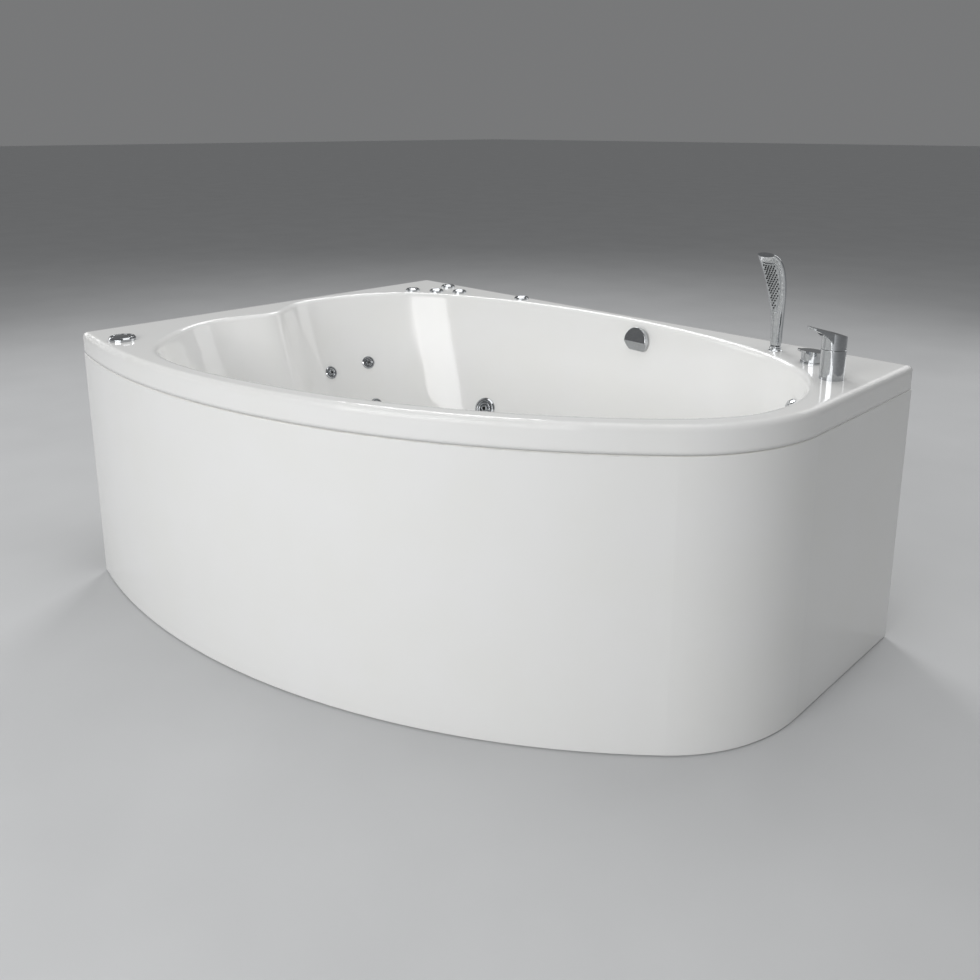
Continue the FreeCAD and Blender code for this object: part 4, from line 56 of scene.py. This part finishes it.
# Studio
FLOOR_REACH = 60.0         # past every view's horizon
WORLD_COLOUR = "#C9CACB"
WORLD_STRENGTH = 0.32
SOFTBOXES = (
    # name, where it hangs, what it looks at, width, height, watts
    ("front", (0.4, -4.0, 2.2), (0, 0, 0.4), 2.0, 2.0, 61),
    ("front_right", (2.2, -3.8, 1.8), (0, 0, 0.4), 1.6, 1.6, 34),
    ("overhead", (0.2, 0.4, 3.4), (0.1, 0.1, 0), 2.6, 2.2, 28),
    ("rear_left", (-2.8, 2.4, 3.8), (0, 0, 0.4), 1.6, 1.6, 56),
    ("rear_right", (1.0, 3.8, 2.2), (0, 0, 0.4), 2.0, 2.0, 20),
    ("left", (-3.8, -1.1, 1.9), (0, 0, 0.5), 1.4, 1.4, 16),
)

# Finishes
ROLLED_EDGE = 14.0 * MM    # softness of the shell's rolled edges
SHEET_EDGE = 1.5 * MM      # softness of the apron's folded and sawn edges
EDGE_SAMPLES = 12
STRAND_TURNS = (0.0, 1.05, 2.1)    # radians between the layers of chopped strands
STRAND_TILT = 0.7          # share of that turn about the second axis
SKY_START = 0.5 * MM       # how far off a face the look at the sky starts

# Small pieces
MERGE = 0.01 * MM          # corners this near are one corner
NUB_RADIUS = 1.9 * MM      # spray nubs on the hand shower
NUB_HEIGHT = 1.6 * MM
NUB_SIDES = 12
NUB_PITCH = 7.0 * MM
NUB_ROW = NUB_PITCH * math.sqrt(0.75)      # between rows that are staggered by half a pitch
NUB_EDGE = 4.0 * MM        # bare margin round the nubs
NUB_SPAN = 160.0 * MM      # side of the square that the nubs are picked from
CLIP_WIDTH = 7.0 * MM      # band of a hose clip
CLIP_BAND = 0.8 * MM
CLIP_SIDES = 40
LONG_HOSE = 1.6            # a hose gets a clip if it is so many times longer than wide,
STRAIGHT_HOSE = 1.2        # and if it strays less than this many radii from its own axis
CLIP_SCREW = 3.2 * MM      # half the height of its screw housing
SCREW_SIDES = 16
CAP_PLATE = 1.8 * MM       # plastic caps in the rails' open ends
CAP_ROUND = 3.0 * MM
CAP_ROUND_STEPS = 6
CAP_EDGE = 0.4 * MM        # how far a cap stays inside the rail's outline


def hex_linear(code):
    """Linear RGBA of an sRGB hex colour."""
    channels = [int(code[i:i + 2], 16) / 255 for i in (1, 3, 5)]
    return *(c / 12.92 if c <= 0.04045 else ((c + 0.055) / 1.055) ** 2.4 for c in channels), 1.0


def node(tree, kind, settings=None, **inputs):
    """Adds a node with its own settings, and with a value, a link or a list of links for its inputs.

    In an input's name two underscores stand for a space, and _6 is the socket with that number.
    """
    made = tree.nodes.new(kind)
    for name, value in (settings or {}).items():
        setattr(made, name, value)
    for name, value in inputs.items():
        socket = made.inputs[int(name[1:]) if name[0] == "_" else name.replace("__", " ")]
        if isinstance(value, bpy.types.NodeSocket):
            tree.links.new(value, socket)
        elif isinstance(value, list):
            for each in value:
                tree.links.new(each, socket)
        else:
            socket.default_value = value
    return made


def new_material(name):
    """A material, its empty tree, and the coordinates of the piece it is on, in metres."""
    material = bpy.data.materials.new(name)
    material.use_nodes = True
    tree = material.node_tree
    tree.nodes.clear()
    return material, tree, node(tree, "ShaderNodeTexCoord").outputs["Object"]


def surface(tree, **inputs):
    """Closes a material's tree with its shader."""
    shader = node(tree, "ShaderNodeBsdfPrincipled", **inputs)
    node(tree, "ShaderNodeOutputMaterial", Surface=shader.outputs["BSDF"])


def per_metre(millimetres):
    """Texture scale that repeats about once in a real size."""
    return 1 / (millimetres * MM)


def two_tones(tree, share, first, second, low=0.3, high=0.7):
    """Colour that goes from one hex colour to another as a share goes from low to high."""
    part = node(tree, "ShaderNodeMapRange", Value=share, From__Min=low, From__Max=high).outputs["Result"]
    return node(tree, "ShaderNodeMix", {"data_type": "RGBA"}, _0=part, _6=hex_linear(first),
                _7=hex_linear(second)).outputs[2]


def cast_acrylic(name, edge):
    """Formed cast acrylic, polished: glass-like gloss over white, edges as soft as given, a faint wave."""
    material, tree, place = new_material(name)
    # Forming waves a hand wide, and the haze of polishing
    wave = node(tree, "ShaderNodeTexNoise", Vector=place, Scale=per_metre(140), Detail=1.0).outputs["Fac"]
    haze = node(tree, "ShaderNodeTexNoise", Vector=place, Scale=per_metre(9), Detail=3.0).outputs["Fac"]
    gloss = node(tree, "ShaderNodeMapRange", Value=haze, To__Min=0.05, To__Max=0.11)
    soft = node(tree, "ShaderNodeBevel", {"samples": EDGE_SAMPLES}, Radius=edge)
    relief = node(tree, "ShaderNodeBump", Height=wave, Strength=0.03, Distance=2 * MM,
                  Normal=soft.outputs["Normal"])
    surface(tree, Base__Color=two_tones(tree, wave, "#F4F4F2", "#F5F5F4"), Roughness=gloss.outputs["Result"],
            Normal=relief.outputs["Normal"], IOR=1.49)
    return material


def bright_chrome():
    """Polished chrome plate on brass: a mirror, with the faint haze of hand polishing."""
    material, tree, place = new_material("bright_chrome")
    haze = node(tree, "ShaderNodeTexNoise", Vector=place, Scale=per_metre(6), Detail=4.0).outputs["Fac"]
    gloss = node(tree, "ShaderNodeMapRange", Value=haze, To__Min=0.03, To__Max=0.1)
    surface(tree, Base__Color=two_tones(tree, haze, "#B6B9BC", "#C6C8CA"), Roughness=gloss.outputs["Result"],
            Metallic=1.0)
    return material


def satin_chrome():
    """Chrome plate on a blasted face: the spray face's soft grey sheen, without a mirror's edges."""
    material, tree, place = new_material("satin_chrome")
    # Blasting grit, drawn coarser than it is so that it shows
    grit = node(tree, "ShaderNodeTexNoise", Vector=place, Scale=per_metre(1.5), Detail=3.0).outputs["Fac"]
    gloss = node(tree, "ShaderNodeMapRange", Value=grit, To__Min=0.24, To__Max=0.36)
    surface(tree, Base__Color=two_tones(tree, grit, "#A9ACAF", "#BFC2C4"), Roughness=gloss.outputs["Result"],
            Metallic=1.0)
    return material


def silicone_rubber():
    """Dark moulded silicone of the spray nubs: soft, satin, slightly dusty."""
    material, tree, place = new_material("silicone_rubber")
    dust = node(tree, "ShaderNodeTexNoise", Vector=place, Scale=per_metre(3), Detail=4.0).outputs["Fac"]
    gloss = node(tree, "ShaderNodeMapRange", Value=dust, To__Min=0.42, To__Max=0.58)
    surface(tree, Base__Color=two_tones(tree, dust, "#232527", "#303235"), Roughness=gloss.outputs["Result"])
    return material


def glass_fibre_laminate():
    """Glass fibre and resin sprayed on the shell's back: hazy off-white, chopped strands lying every way."""
    material, tree, place = new_material("glass_fibre_laminate")
    # Strands as long as they are cut, drawn thicker than they are so that they show
    strand_size = (per_metre(28), per_metre(2.4), per_metre(2.4))
    strands = 0.0
    for turn in STRAND_TURNS:
        lay = node(tree, "ShaderNodeMapping", Vector=place, Rotation=(turn, turn * STRAND_TILT, turn),
                   Scale=strand_size).outputs["Vector"]
        layer = node(tree, "ShaderNodeTexNoise", Vector=lay, Scale=1.0, Detail=1.0).outputs["Fac"]
        strands = node(tree, "ShaderNodeMath", {"operation": "MAXIMUM"}, _0=strands,
                       _1=layer).outputs["Value"]
    relief = node(tree, "ShaderNodeBump", Height=strands, Strength=0.5, Distance=0.5 * MM)
    surface(tree, Base__Color=two_tones(tree, strands, "#CFC9B8", "#EAE6DA", 0.45, 0.75), Roughness=0.48,
            Normal=relief.outputs["Normal"])
    return material


def galvanised_steel():
    """Hot-dip galvanised tube: overlapping zinc crystals about a finger wide, dull and grey."""
    material, tree, place = new_material("galvanised_steel")
    crystals = node(tree, "ShaderNodeTexVoronoi", Vector=place, Scale=per_metre(14))
    tone = node(tree, "ShaderNodeSeparateColor", Color=crystals.outputs["Color"]).outputs["Red"]
    gloss = node(tree, "ShaderNodeMapRange", Value=tone, To__Min=0.34, To__Max=0.52)
    surface(tree, Base__Color=two_tones(tree, tone, "#8F9497", "#B7BBBD", 0.1, 0.9),
            Roughness=gloss.outputs["Result"], Metallic=1.0)
    return material


def zinc_plate():
    """Bright zinc on turned steel, with the thread or tool marks as fine rings along the bar."""
    material, tree, place = new_material("zinc_plate")
    # Rings at a foot stud's thread pitch
    rings = node(tree, "ShaderNodeTexWave", {"bands_direction": "Z"}, Vector=place,
                 Scale=per_metre(1.75) / math.tau)
    grime = node(tree, "ShaderNodeTexNoise", Vector=place, Scale=per_metre(10), Detail=3.0).outputs["Fac"]
    relief = node(tree, "ShaderNodeBump", Height=rings.outputs["Fac"], Strength=0.5, Distance=0.6 * MM)
    surface(tree, Base__Color=two_tones(tree, grime, "#A9ACAF", "#C4C7C9"), Roughness=0.3, Metallic=1.0,
            Normal=relief.outputs["Normal"])
    return material


def black_rubber():
    """Moulded black rubber of the feet: matt, with a grey bloom."""
    material, tree, place = new_material("black_rubber")
    bloom = node(tree, "ShaderNodeTexNoise", Vector=place, Scale=per_metre(7), Detail=5.0).outputs["Fac"]
    gloss = node(tree, "ShaderNodeMapRange", Value=bloom, To__Min=0.7, To__Max=0.9)
    surface(tree, Base__Color=two_tones(tree, bloom, "#141414", "#242424"), Roughness=gloss.outputs["Result"])
    return material


def particle_board():
    """Raw particle board: pressed wood chips a few millimetres long, pale and dark."""
    material, tree, place = new_material("particle_board")
    chips = node(tree, "ShaderNodeTexVoronoi", Vector=place, Scale=per_metre(7))
    tone = node(tree, "ShaderNodeSeparateColor", Color=chips.outputs["Color"]).outputs["Green"]
    relief = node(tree, "ShaderNodeBump", Height=tone, Strength=0.4, Distance=0.4 * MM)
    surface(tree, Base__Color=two_tones(tree, tone, "#9C7B4F", "#D2B482", 0.1, 0.9), Roughness=0.8,
            Normal=relief.outputs["Normal"])
    return material


def cast_brass():
    """Raw cast brass: sand-grained, yellow, browned in its hollows."""
    material, tree, place = new_material("cast_brass")
    # Sand grain, drawn coarser than it is so that it shows
    grain = node(tree, "ShaderNodeTexNoise", Vector=place, Scale=per_metre(4), Detail=4.0).outputs["Fac"]
    relief = node(tree, "ShaderNodeBump", Height=grain, Strength=0.25, Distance=0.3 * MM)
    surface(tree, Base__Color=two_tones(tree, grain, "#8A6A32", "#C4A35C"), Roughness=0.36, Metallic=1.0,
            Normal=relief.outputs["Normal"])
    return material


def white_pvc():
    """Extruded rigid PVC of the pipes: off-white, satin, faintly mottled."""
    material, tree, place = new_material("white_pvc")
    mottle = node(tree, "ShaderNodeTexNoise", Vector=place, Scale=per_metre(25), Detail=3.0).outputs["Fac"]
    gloss = node(tree, "ShaderNodeMapRange", Value=mottle, To__Min=0.28, To__Max=0.42)
    surface(tree, Base__Color=two_tones(tree, mottle, "#DEDED8", "#EAEAE6"),
            Roughness=gloss.outputs["Result"], IOR=1.53)
    return material


def milky_hose():
    """Soft reinforced hose: milky wall with its thread net showing through as fine diagonal lines."""
    material, tree, place = new_material("milky_hose")
    threads = node(tree, "ShaderNodeTexWave", {"bands_direction": "DIAGONAL"}, Vector=place,
                   Scale=per_metre(6) / math.tau).outputs["Fac"]
    surface(tree, Base__Color=two_tones(tree, threads, "#B4BBBC", "#D6DADA", 0.2, 0.6), Roughness=0.25)
    return material


def black_nylon():
    """Glass-filled nylon of the pump's volute and the control box: near black, fine moulded grain."""
    material, tree, place = new_material("black_nylon")
    # Moulded grain, drawn coarser than it is so that it shows
    grain = node(tree, "ShaderNodeTexNoise", Vector=place, Scale=per_metre(1.2), Detail=2.0).outputs["Fac"]
    relief = node(tree, "ShaderNodeBump", Height=grain, Strength=0.3, Distance=0.15 * MM)
    surface(tree, Base__Color=two_tones(tree, grain, "#151617", "#232527"), Roughness=0.5,
            Normal=relief.outputs["Normal"])
    return material


def hammered_paint():
    """Dark grey hammered paint of the motor: glossy pools between small ridges."""
    material, tree, place = new_material("hammered_paint")
    pools = node(tree, "ShaderNodeTexVoronoi", Vector=place, Scale=per_metre(4)).outputs["Distance"]
    relief = node(tree, "ShaderNodeBump", Height=pools, Strength=0.3, Distance=0.3 * MM)
    surface(tree, Base__Color=two_tones(tree, pools, "#343A41", "#4A5159"), Roughness=0.32,
            Normal=relief.outputs["Normal"])
    return material


def painted_floor():
    """Matt grey-white studio paint, slightly uneven."""
    material, tree, place = new_material("studio_floor")
    grain = node(tree, "ShaderNodeTexNoise", Vector=place, Scale=per_metre(400), Detail=2.0).outputs["Fac"]
    surface(tree, Base__Color=two_tones(tree, grain, "#D2D3D4", "#D7D8D9"), Roughness=0.6)
    return material


FINISHES = {
    "acrylic": cast_acrylic("shell_acrylic", ROLLED_EDGE),
    "chrome": bright_chrome(),
    "spray_rubber": satin_chrome(),        # the spray plate; its nubs bring their own rubber
    "frame_steel": galvanised_steel(),
    "zinc": zinc_plate(),
    "pad_rubber": black_rubber(),
    "board": particle_board(),
    "brass": cast_brass(),
    "white_pvc": white_pvc(),
    "clear_hose": milky_hose(),
    "pump_black": black_nylon(),
    "motor_paint": hammered_paint(),
}


def dress_nodes():
    """Gives each CAD node the finish of its slot, and the apron the sharper edges of sheet."""
    for row in frame["record"]["subparts"]:
        mesh = frame["nodes"][row["node"]].data
        mesh.materials.clear()
        mesh.materials.append(FINISHES[row["material_slot"]])
    frame["nodes"]["apron_panel"].data.materials[0] = cast_acrylic("sheet_acrylic", SHEET_EDGE)


def cover_tree(mesh):
    """A mesh's faces, ready for casting rays at them."""
    corners = [corner.co for corner in mesh.vertices]
    return BVHTree.FromPolygons(corners, [face.vertices for face in mesh.polygons])


def back_the_shell():
    """Gives the shell's hidden side its backing: each face that is covered straight above."""
    shell = frame["nodes"]["tub_shell"].data
    cover = cover_tree(shell)
    shell.materials.append(glass_fibre_laminate())
    for face in shell.polygons:
        hit = cover.ray_cast(face.center + face.normal * SKY_START, UP)[0]
        face.material_index = 0 if hit is None else 1


def separate_solids(node_name):
    """Corners of each solid of a node, as one array per solid."""
    mesh = frame["nodes"][node_name].data
    corners = np.empty(len(mesh.vertices) * 3, np.float32)
    mesh.vertices.foreach_get("co", corners)
    corners = corners.reshape(-1, 3)
    cells = np.round(corners / MERGE).astype(np.int64)
    merged = np.unique(cells, axis=0, return_inverse=True)[1].ravel()
    group = list(range(merged.max() + 1))

    def root(item):
        while group[item] != item:
            group[item] = group[group[item]]
            item = group[item]
        return item

    for edge in mesh.edges:
        group[root(merged[edge.vertices[0]])] = root(merged[edge.vertices[1]])
    roots = np.array([root(item) for item in merged])
    return [corners[roots == label] for label in np.unique(roots)]


def size_inputs(name, *sizes):
    """A Geometry Nodes tree with named sizes, and its input sockets."""
    tree = bpy.data.node_groups.new(name, "GeometryNodeTree")
    tree.interface.new_socket("Geometry", in_out="INPUT", socket_type="NodeSocketGeometry")
    for size in sizes:
        tree.interface.new_socket(size, in_out="INPUT", socket_type="NodeSocketFloat")
    tree.interface.new_socket("Geometry", in_out="OUTPUT", socket_type="NodeSocketGeometry")
    return tree, node(tree, "NodeGroupInput").outputs


def set_out(tree, places, part, finish):
    """Closes a tree: a part on each place, turned along the place's axis, as one plain mesh in one finish."""
    axis = node(tree, "GeometryNodeInputNamedAttribute", {"data_type": "FLOAT_VECTOR"}, Name="axis")
    turn = node(tree, "FunctionNodeAlignRotationToVector", {"axis": "Z"}, Vector=axis.outputs["Attribute"])
    laid = node(tree, "GeometryNodeInstanceOnPoints", Points=places, Instance=part,
                Rotation=turn.outputs["Rotation"])
    solid = node(tree, "GeometryNodeRealizeInstances", Geometry=laid.outputs["Instances"])
    dressed = node(tree, "GeometryNodeSetMaterial", Geometry=solid.outputs["Geometry"], Material=finish)
    node(tree, "NodeGroupOutput", Geometry=dressed.outputs["Geometry"])


def grow(name, tree, places, axes, body, slot, **sizes):
    """Runs a tree on places with axes, and keeps the result as a plain mesh that rides on a body."""
    points = bpy.data.meshes.new(name)
    points.from_pydata([tuple(place) for place in places], [], [])
    axis = points.attributes.new("axis", "FLOAT_VECTOR", "POINT")
    axis.data.foreach_set("vector", np.array([tuple(each) for each in axes], np.float32).ravel())
    piece = bpy.data.objects.new(name, points)
    bpy.context.scene.collection.objects.link(piece)
    run = piece.modifiers.new("grow", "NODES")
    run.node_group = tree
    for socket in tree.interface.items_tree:
        if socket.in_out == "INPUT" and socket.name in sizes:
            run[socket.identifier] = sizes[socket.name]
    made = piece.evaluated_get(bpy.context.evaluated_depsgraph_get())
    mesh = bpy.data.meshes.new_from_object(made)
    piece.modifiers.clear()
    piece.data = mesh
    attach(piece, body)


def nub_places():
    """Where the nubs stand on the spray face's open side, in staggered rows, and which way they point."""
    corners = separate_solids("spray_plate")[0]
    middle = Vector(corners.mean(axis=0))
    across, along, out = [Vector(row) for row in np.linalg.svd(corners - corners.mean(axis=0))[2]]
    face = cover_tree(frame["nodes"]["spray_plate"].data)
    handle = cover_tree(frame["nodes"]["hand_shower"].data)
    reach = handle.ray_cast(middle + out * NUB_SPAN, -out)[3]
    if reach is not None and reach < face.ray_cast(middle + out * NUB_SPAN, -out)[3]:
        out = -out
    count = int(NUB_SPAN / NUB_PITCH / 2)
    places, axes = [], []
    for row in range(-count, count + 1):
        for column in range(-count, count + 1):
            stagger = 0.5 * (row % 2)
            start = middle + across * (row * NUB_ROW) + along * ((column + stagger) * NUB_PITCH)
            hit, normal = face.ray_cast(start + out * NUB_SPAN, -out)[:2]
            if hit is None:
                continue
            margins = [start + step * NUB_EDGE for step in (across, -across, along, -along)]
            if all(face.ray_cast(edge + out * NUB_SPAN, -out)[0] is not None for edge in margins):
                places.append(hit)
                axes.append(normal)
    return places, axes


def spray_nubs():
    """Silicone nubs on the hand shower's spray face, each a short peg that stands on its base."""
    tree, given = size_inputs("spray_nubs", "Radius", "Height")
    nub = node(tree, "GeometryNodeMeshCone", {"fill_type": "NGON"}, Vertices=NUB_SIDES,
               Radius__Top=given["Radius"], Radius__Bottom=given["Radius"], Depth=given["Height"])
    set_out(tree, given["Geometry"], nub.outputs["Mesh"], silicone_rubber())
    places, axes = nub_places()
    grow("spray_nubs", tree, places, axes, "hand_shower", "spray_rubber",
         Radius=NUB_RADIUS, Height=NUB_HEIGHT)


def straight_hoses():
    """Middle and axis of each hose that is long and straight enough for a clip, by radius in millimetres."""
    found = {}
    for corners in separate_solids("jet_hoses"):
        middle = corners.mean(axis=0)
        sizes, axes = np.linalg.svd(corners - middle, full_matrices=False)[1:]
        along = (corners - middle) @ axes[0]
        away = np.linalg.norm((corners - middle) - np.outer(along, axes[0]), axis=1)
        radius = np.median(away)
        if sizes[0] < LONG_HOSE * sizes[1] or away.max() > STRAIGHT_HOSE * radius:
            continue
        centre = middle + axes[0] * (along.max() + along.min()) / 2
        found.setdefault(round(radius / MM), []).append((centre, axes[0]))
    return found


def hose_clips():
    """A zinc-plated band with a screw housing round each hose that is long enough for it."""
    tree, given = size_inputs("hose_clips", "Bore", "Band", "Width", "Screw")
    middle = node(tree, "ShaderNodeMath", {"operation": "MULTIPLY_ADD"}, _0=given["Band"], _1=0.5,
                  _2=given["Bore"]).outputs["Value"]
    ring = node(tree, "GeometryNodeCurvePrimitiveCircle", Resolution=CLIP_SIDES, Radius=middle)
    section = node(tree, "GeometryNodeCurvePrimitiveQuadrilateral", Width=given["Band"],
                   Height=given["Width"])
    band = node(tree, "GeometryNodeCurveToMesh", Curve=ring.outputs["Curve"],
                Profile__Curve=section.outputs["Curve"])
    housing_at = node(tree, "ShaderNodeMath", {"operation": "ADD"}, _0=middle, _1=given["Screw"])
    beside = node(tree, "ShaderNodeCombineXYZ", X=housing_at.outputs["Value"])
    screw = node(tree, "GeometryNodeMeshCylinder", Vertices=SCREW_SIDES, Radius=given["Screw"],
                 Depth=given["Width"])
    housing = node(tree, "GeometryNodeTransform", Geometry=screw.outputs["Mesh"],
                   Translation=beside.outputs["Vector"], Rotation=(math.radians(90), 0, 0))
    clip = node(tree, "GeometryNodeJoinGeometry",
                Geometry=[band.outputs["Mesh"], housing.outputs["Geometry"]])
    set_out(tree, given["Geometry"], clip.outputs["Geometry"], FINISHES["zinc"])
    for radius, hoses in straight_hoses().items():
        places = [place for place, axis in hoses]
        axes = [axis for place, axis in hoses]
        grow(f"hose_clips_{radius}", tree, places, axes, "tub", "zinc",
             Bore=radius * MM, Band=CLIP_BAND, Width=CLIP_WIDTH, Screw=CLIP_SCREW)


def cap_tree(name):
    """A tree that sets out flat caps with rounded corners."""
    tree, given = size_inputs(name, "Width", "Height", "Plate", "Round")
    outline = node(tree, "GeometryNodeCurvePrimitiveQuadrilateral", Width=given["Width"],
                   Height=given["Height"])
    rounded = node(tree, "GeometryNodeFilletCurve", {"mode": "POLY"}, Curve=outline.outputs["Curve"],
                   Count=CAP_ROUND_STEPS, Radius=given["Round"])
    plate = node(tree, "GeometryNodeFillCurve", Curve=rounded.outputs["Curve"])
    raised = node(tree, "GeometryNodeExtrudeMesh", Mesh=plate.outputs["Mesh"], Offset__Scale=given["Plate"],
                  Individual=False)
    back = node(tree, "GeometryNodeFlipFaces", Mesh=plate.outputs["Mesh"])
    both = node(tree, "GeometryNodeJoinGeometry", Geometry=[raised.outputs["Mesh"], back.outputs["Mesh"]])
    closed = node(tree, "GeometryNodeMergeByDistance", Geometry=both.outputs["Geometry"], Distance=MERGE)
    set_out(tree, given["Geometry"], closed.outputs["Geometry"], FINISHES["pump_black"])
    return tree


def rail_caps():
    """Black plastic caps that close the open ends of the frame's tubes."""
    for node_name, axis in (("frame_cross_rails", 1), ("frame_long_rails", 0)):
        places, axes = [], []
        for corners in separate_solids(node_name):
            low, high = corners.min(axis=0), corners.max(axis=0)
            for end, side in ((low, -1), (high, 1)):
                place = (low + high) / 2
                place[axis] = end[axis]
                places.append(place)
                axes.append([side * (i == axis) for i in range(3)])
        wide = float(high[1 - axis] - low[1 - axis]) - 2 * CAP_EDGE
        tall = float(high[2] - low[2]) - 2 * CAP_EDGE
        grow(node_name + "_caps", cap_tree(node_name + "_caps"), places, axes, "tub", "pump_black",
             Width=wide, Height=tall, Plate=CAP_PLATE, Round=CAP_ROUND)


def studio_floor():
    """Plain pale floor that reaches past every view's horizon."""
    mesh = bpy.data.meshes.new("floor")
    corners = [(x * FLOOR_REACH, y * FLOOR_REACH, 0) for x, y in ((-1, -1), (1, -1), (1, 1), (-1, 1))]
    mesh.from_pydata(corners, [], [(0, 1, 2, 3)])
    mesh.materials.append(painted_floor())
    floor = bpy.data.objects.new("floor", mesh)
    bpy.context.scene.collection.objects.link(floor)


def softbox(name, at, aim, width, height, power):
    """Rectangular lamp that looks at a point."""
    lamp = bpy.data.lights.new(name, "AREA")
    lamp.shape = "RECTANGLE"
    lamp.size = width
    lamp.size_y = height
    lamp.energy = power
    holder = bpy.data.objects.new(name, lamp)
    holder.location = at
    holder.rotation_mode = "QUATERNION"
    holder.rotation_quaternion = (Vector(aim) - Vector(at)).to_track_quat("-Z", "Y")
    bpy.context.scene.collection.objects.link(holder)


def studio_light():
    """Soft lamps: two at the front, one at the left, one overhead, two behind; and a dim grey world."""
    for lamp in SOFTBOXES:
        softbox(*lamp)
    world = bpy.data.worlds.new("studio")
    bpy.context.scene.world = world
    world.use_nodes = True
    background = world.node_tree.nodes["Background"]
    background.inputs["Color"].default_value = hex_linear(WORLD_COLOUR)
    background.inputs["Strength"].default_value = WORLD_STRENGTH


def photo_camera():
    """Camera at the photograph's viewpoint, with its frame shifted as the fit gives it."""
    lens = bpy.data.cameras.new("photo_camera")
    lens.sensor_width = SENSOR
    lens.lens = FOCAL_PIXELS / IMAGE_SIDE * SENSOR
    lens.shift_x = (IMAGE_SIDE / 2 - PRINCIPAL_POINT[0]) / IMAGE_SIDE
    lens.shift_y = (PRINCIPAL_POINT[1] - IMAGE_SIDE / 2) / IMAGE_SIDE
    camera = bpy.data.objects.new("photo_camera", lens)
    camera.location = CAMERA_AT
    camera.rotation_euler = (math.radians(90 - CAMERA_PITCH), 0, math.radians(CAMERA_BEARING))
    bpy.context.scene.collection.objects.link(camera)
    bpy.context.scene.camera = camera


dress_nodes()
back_the_shell()
spray_nubs()
hose_clips()
rail_caps()
studio_floor()
studio_light()
photo_camera()
bpy.context.scene.view_settings.view_transform = "Standard"
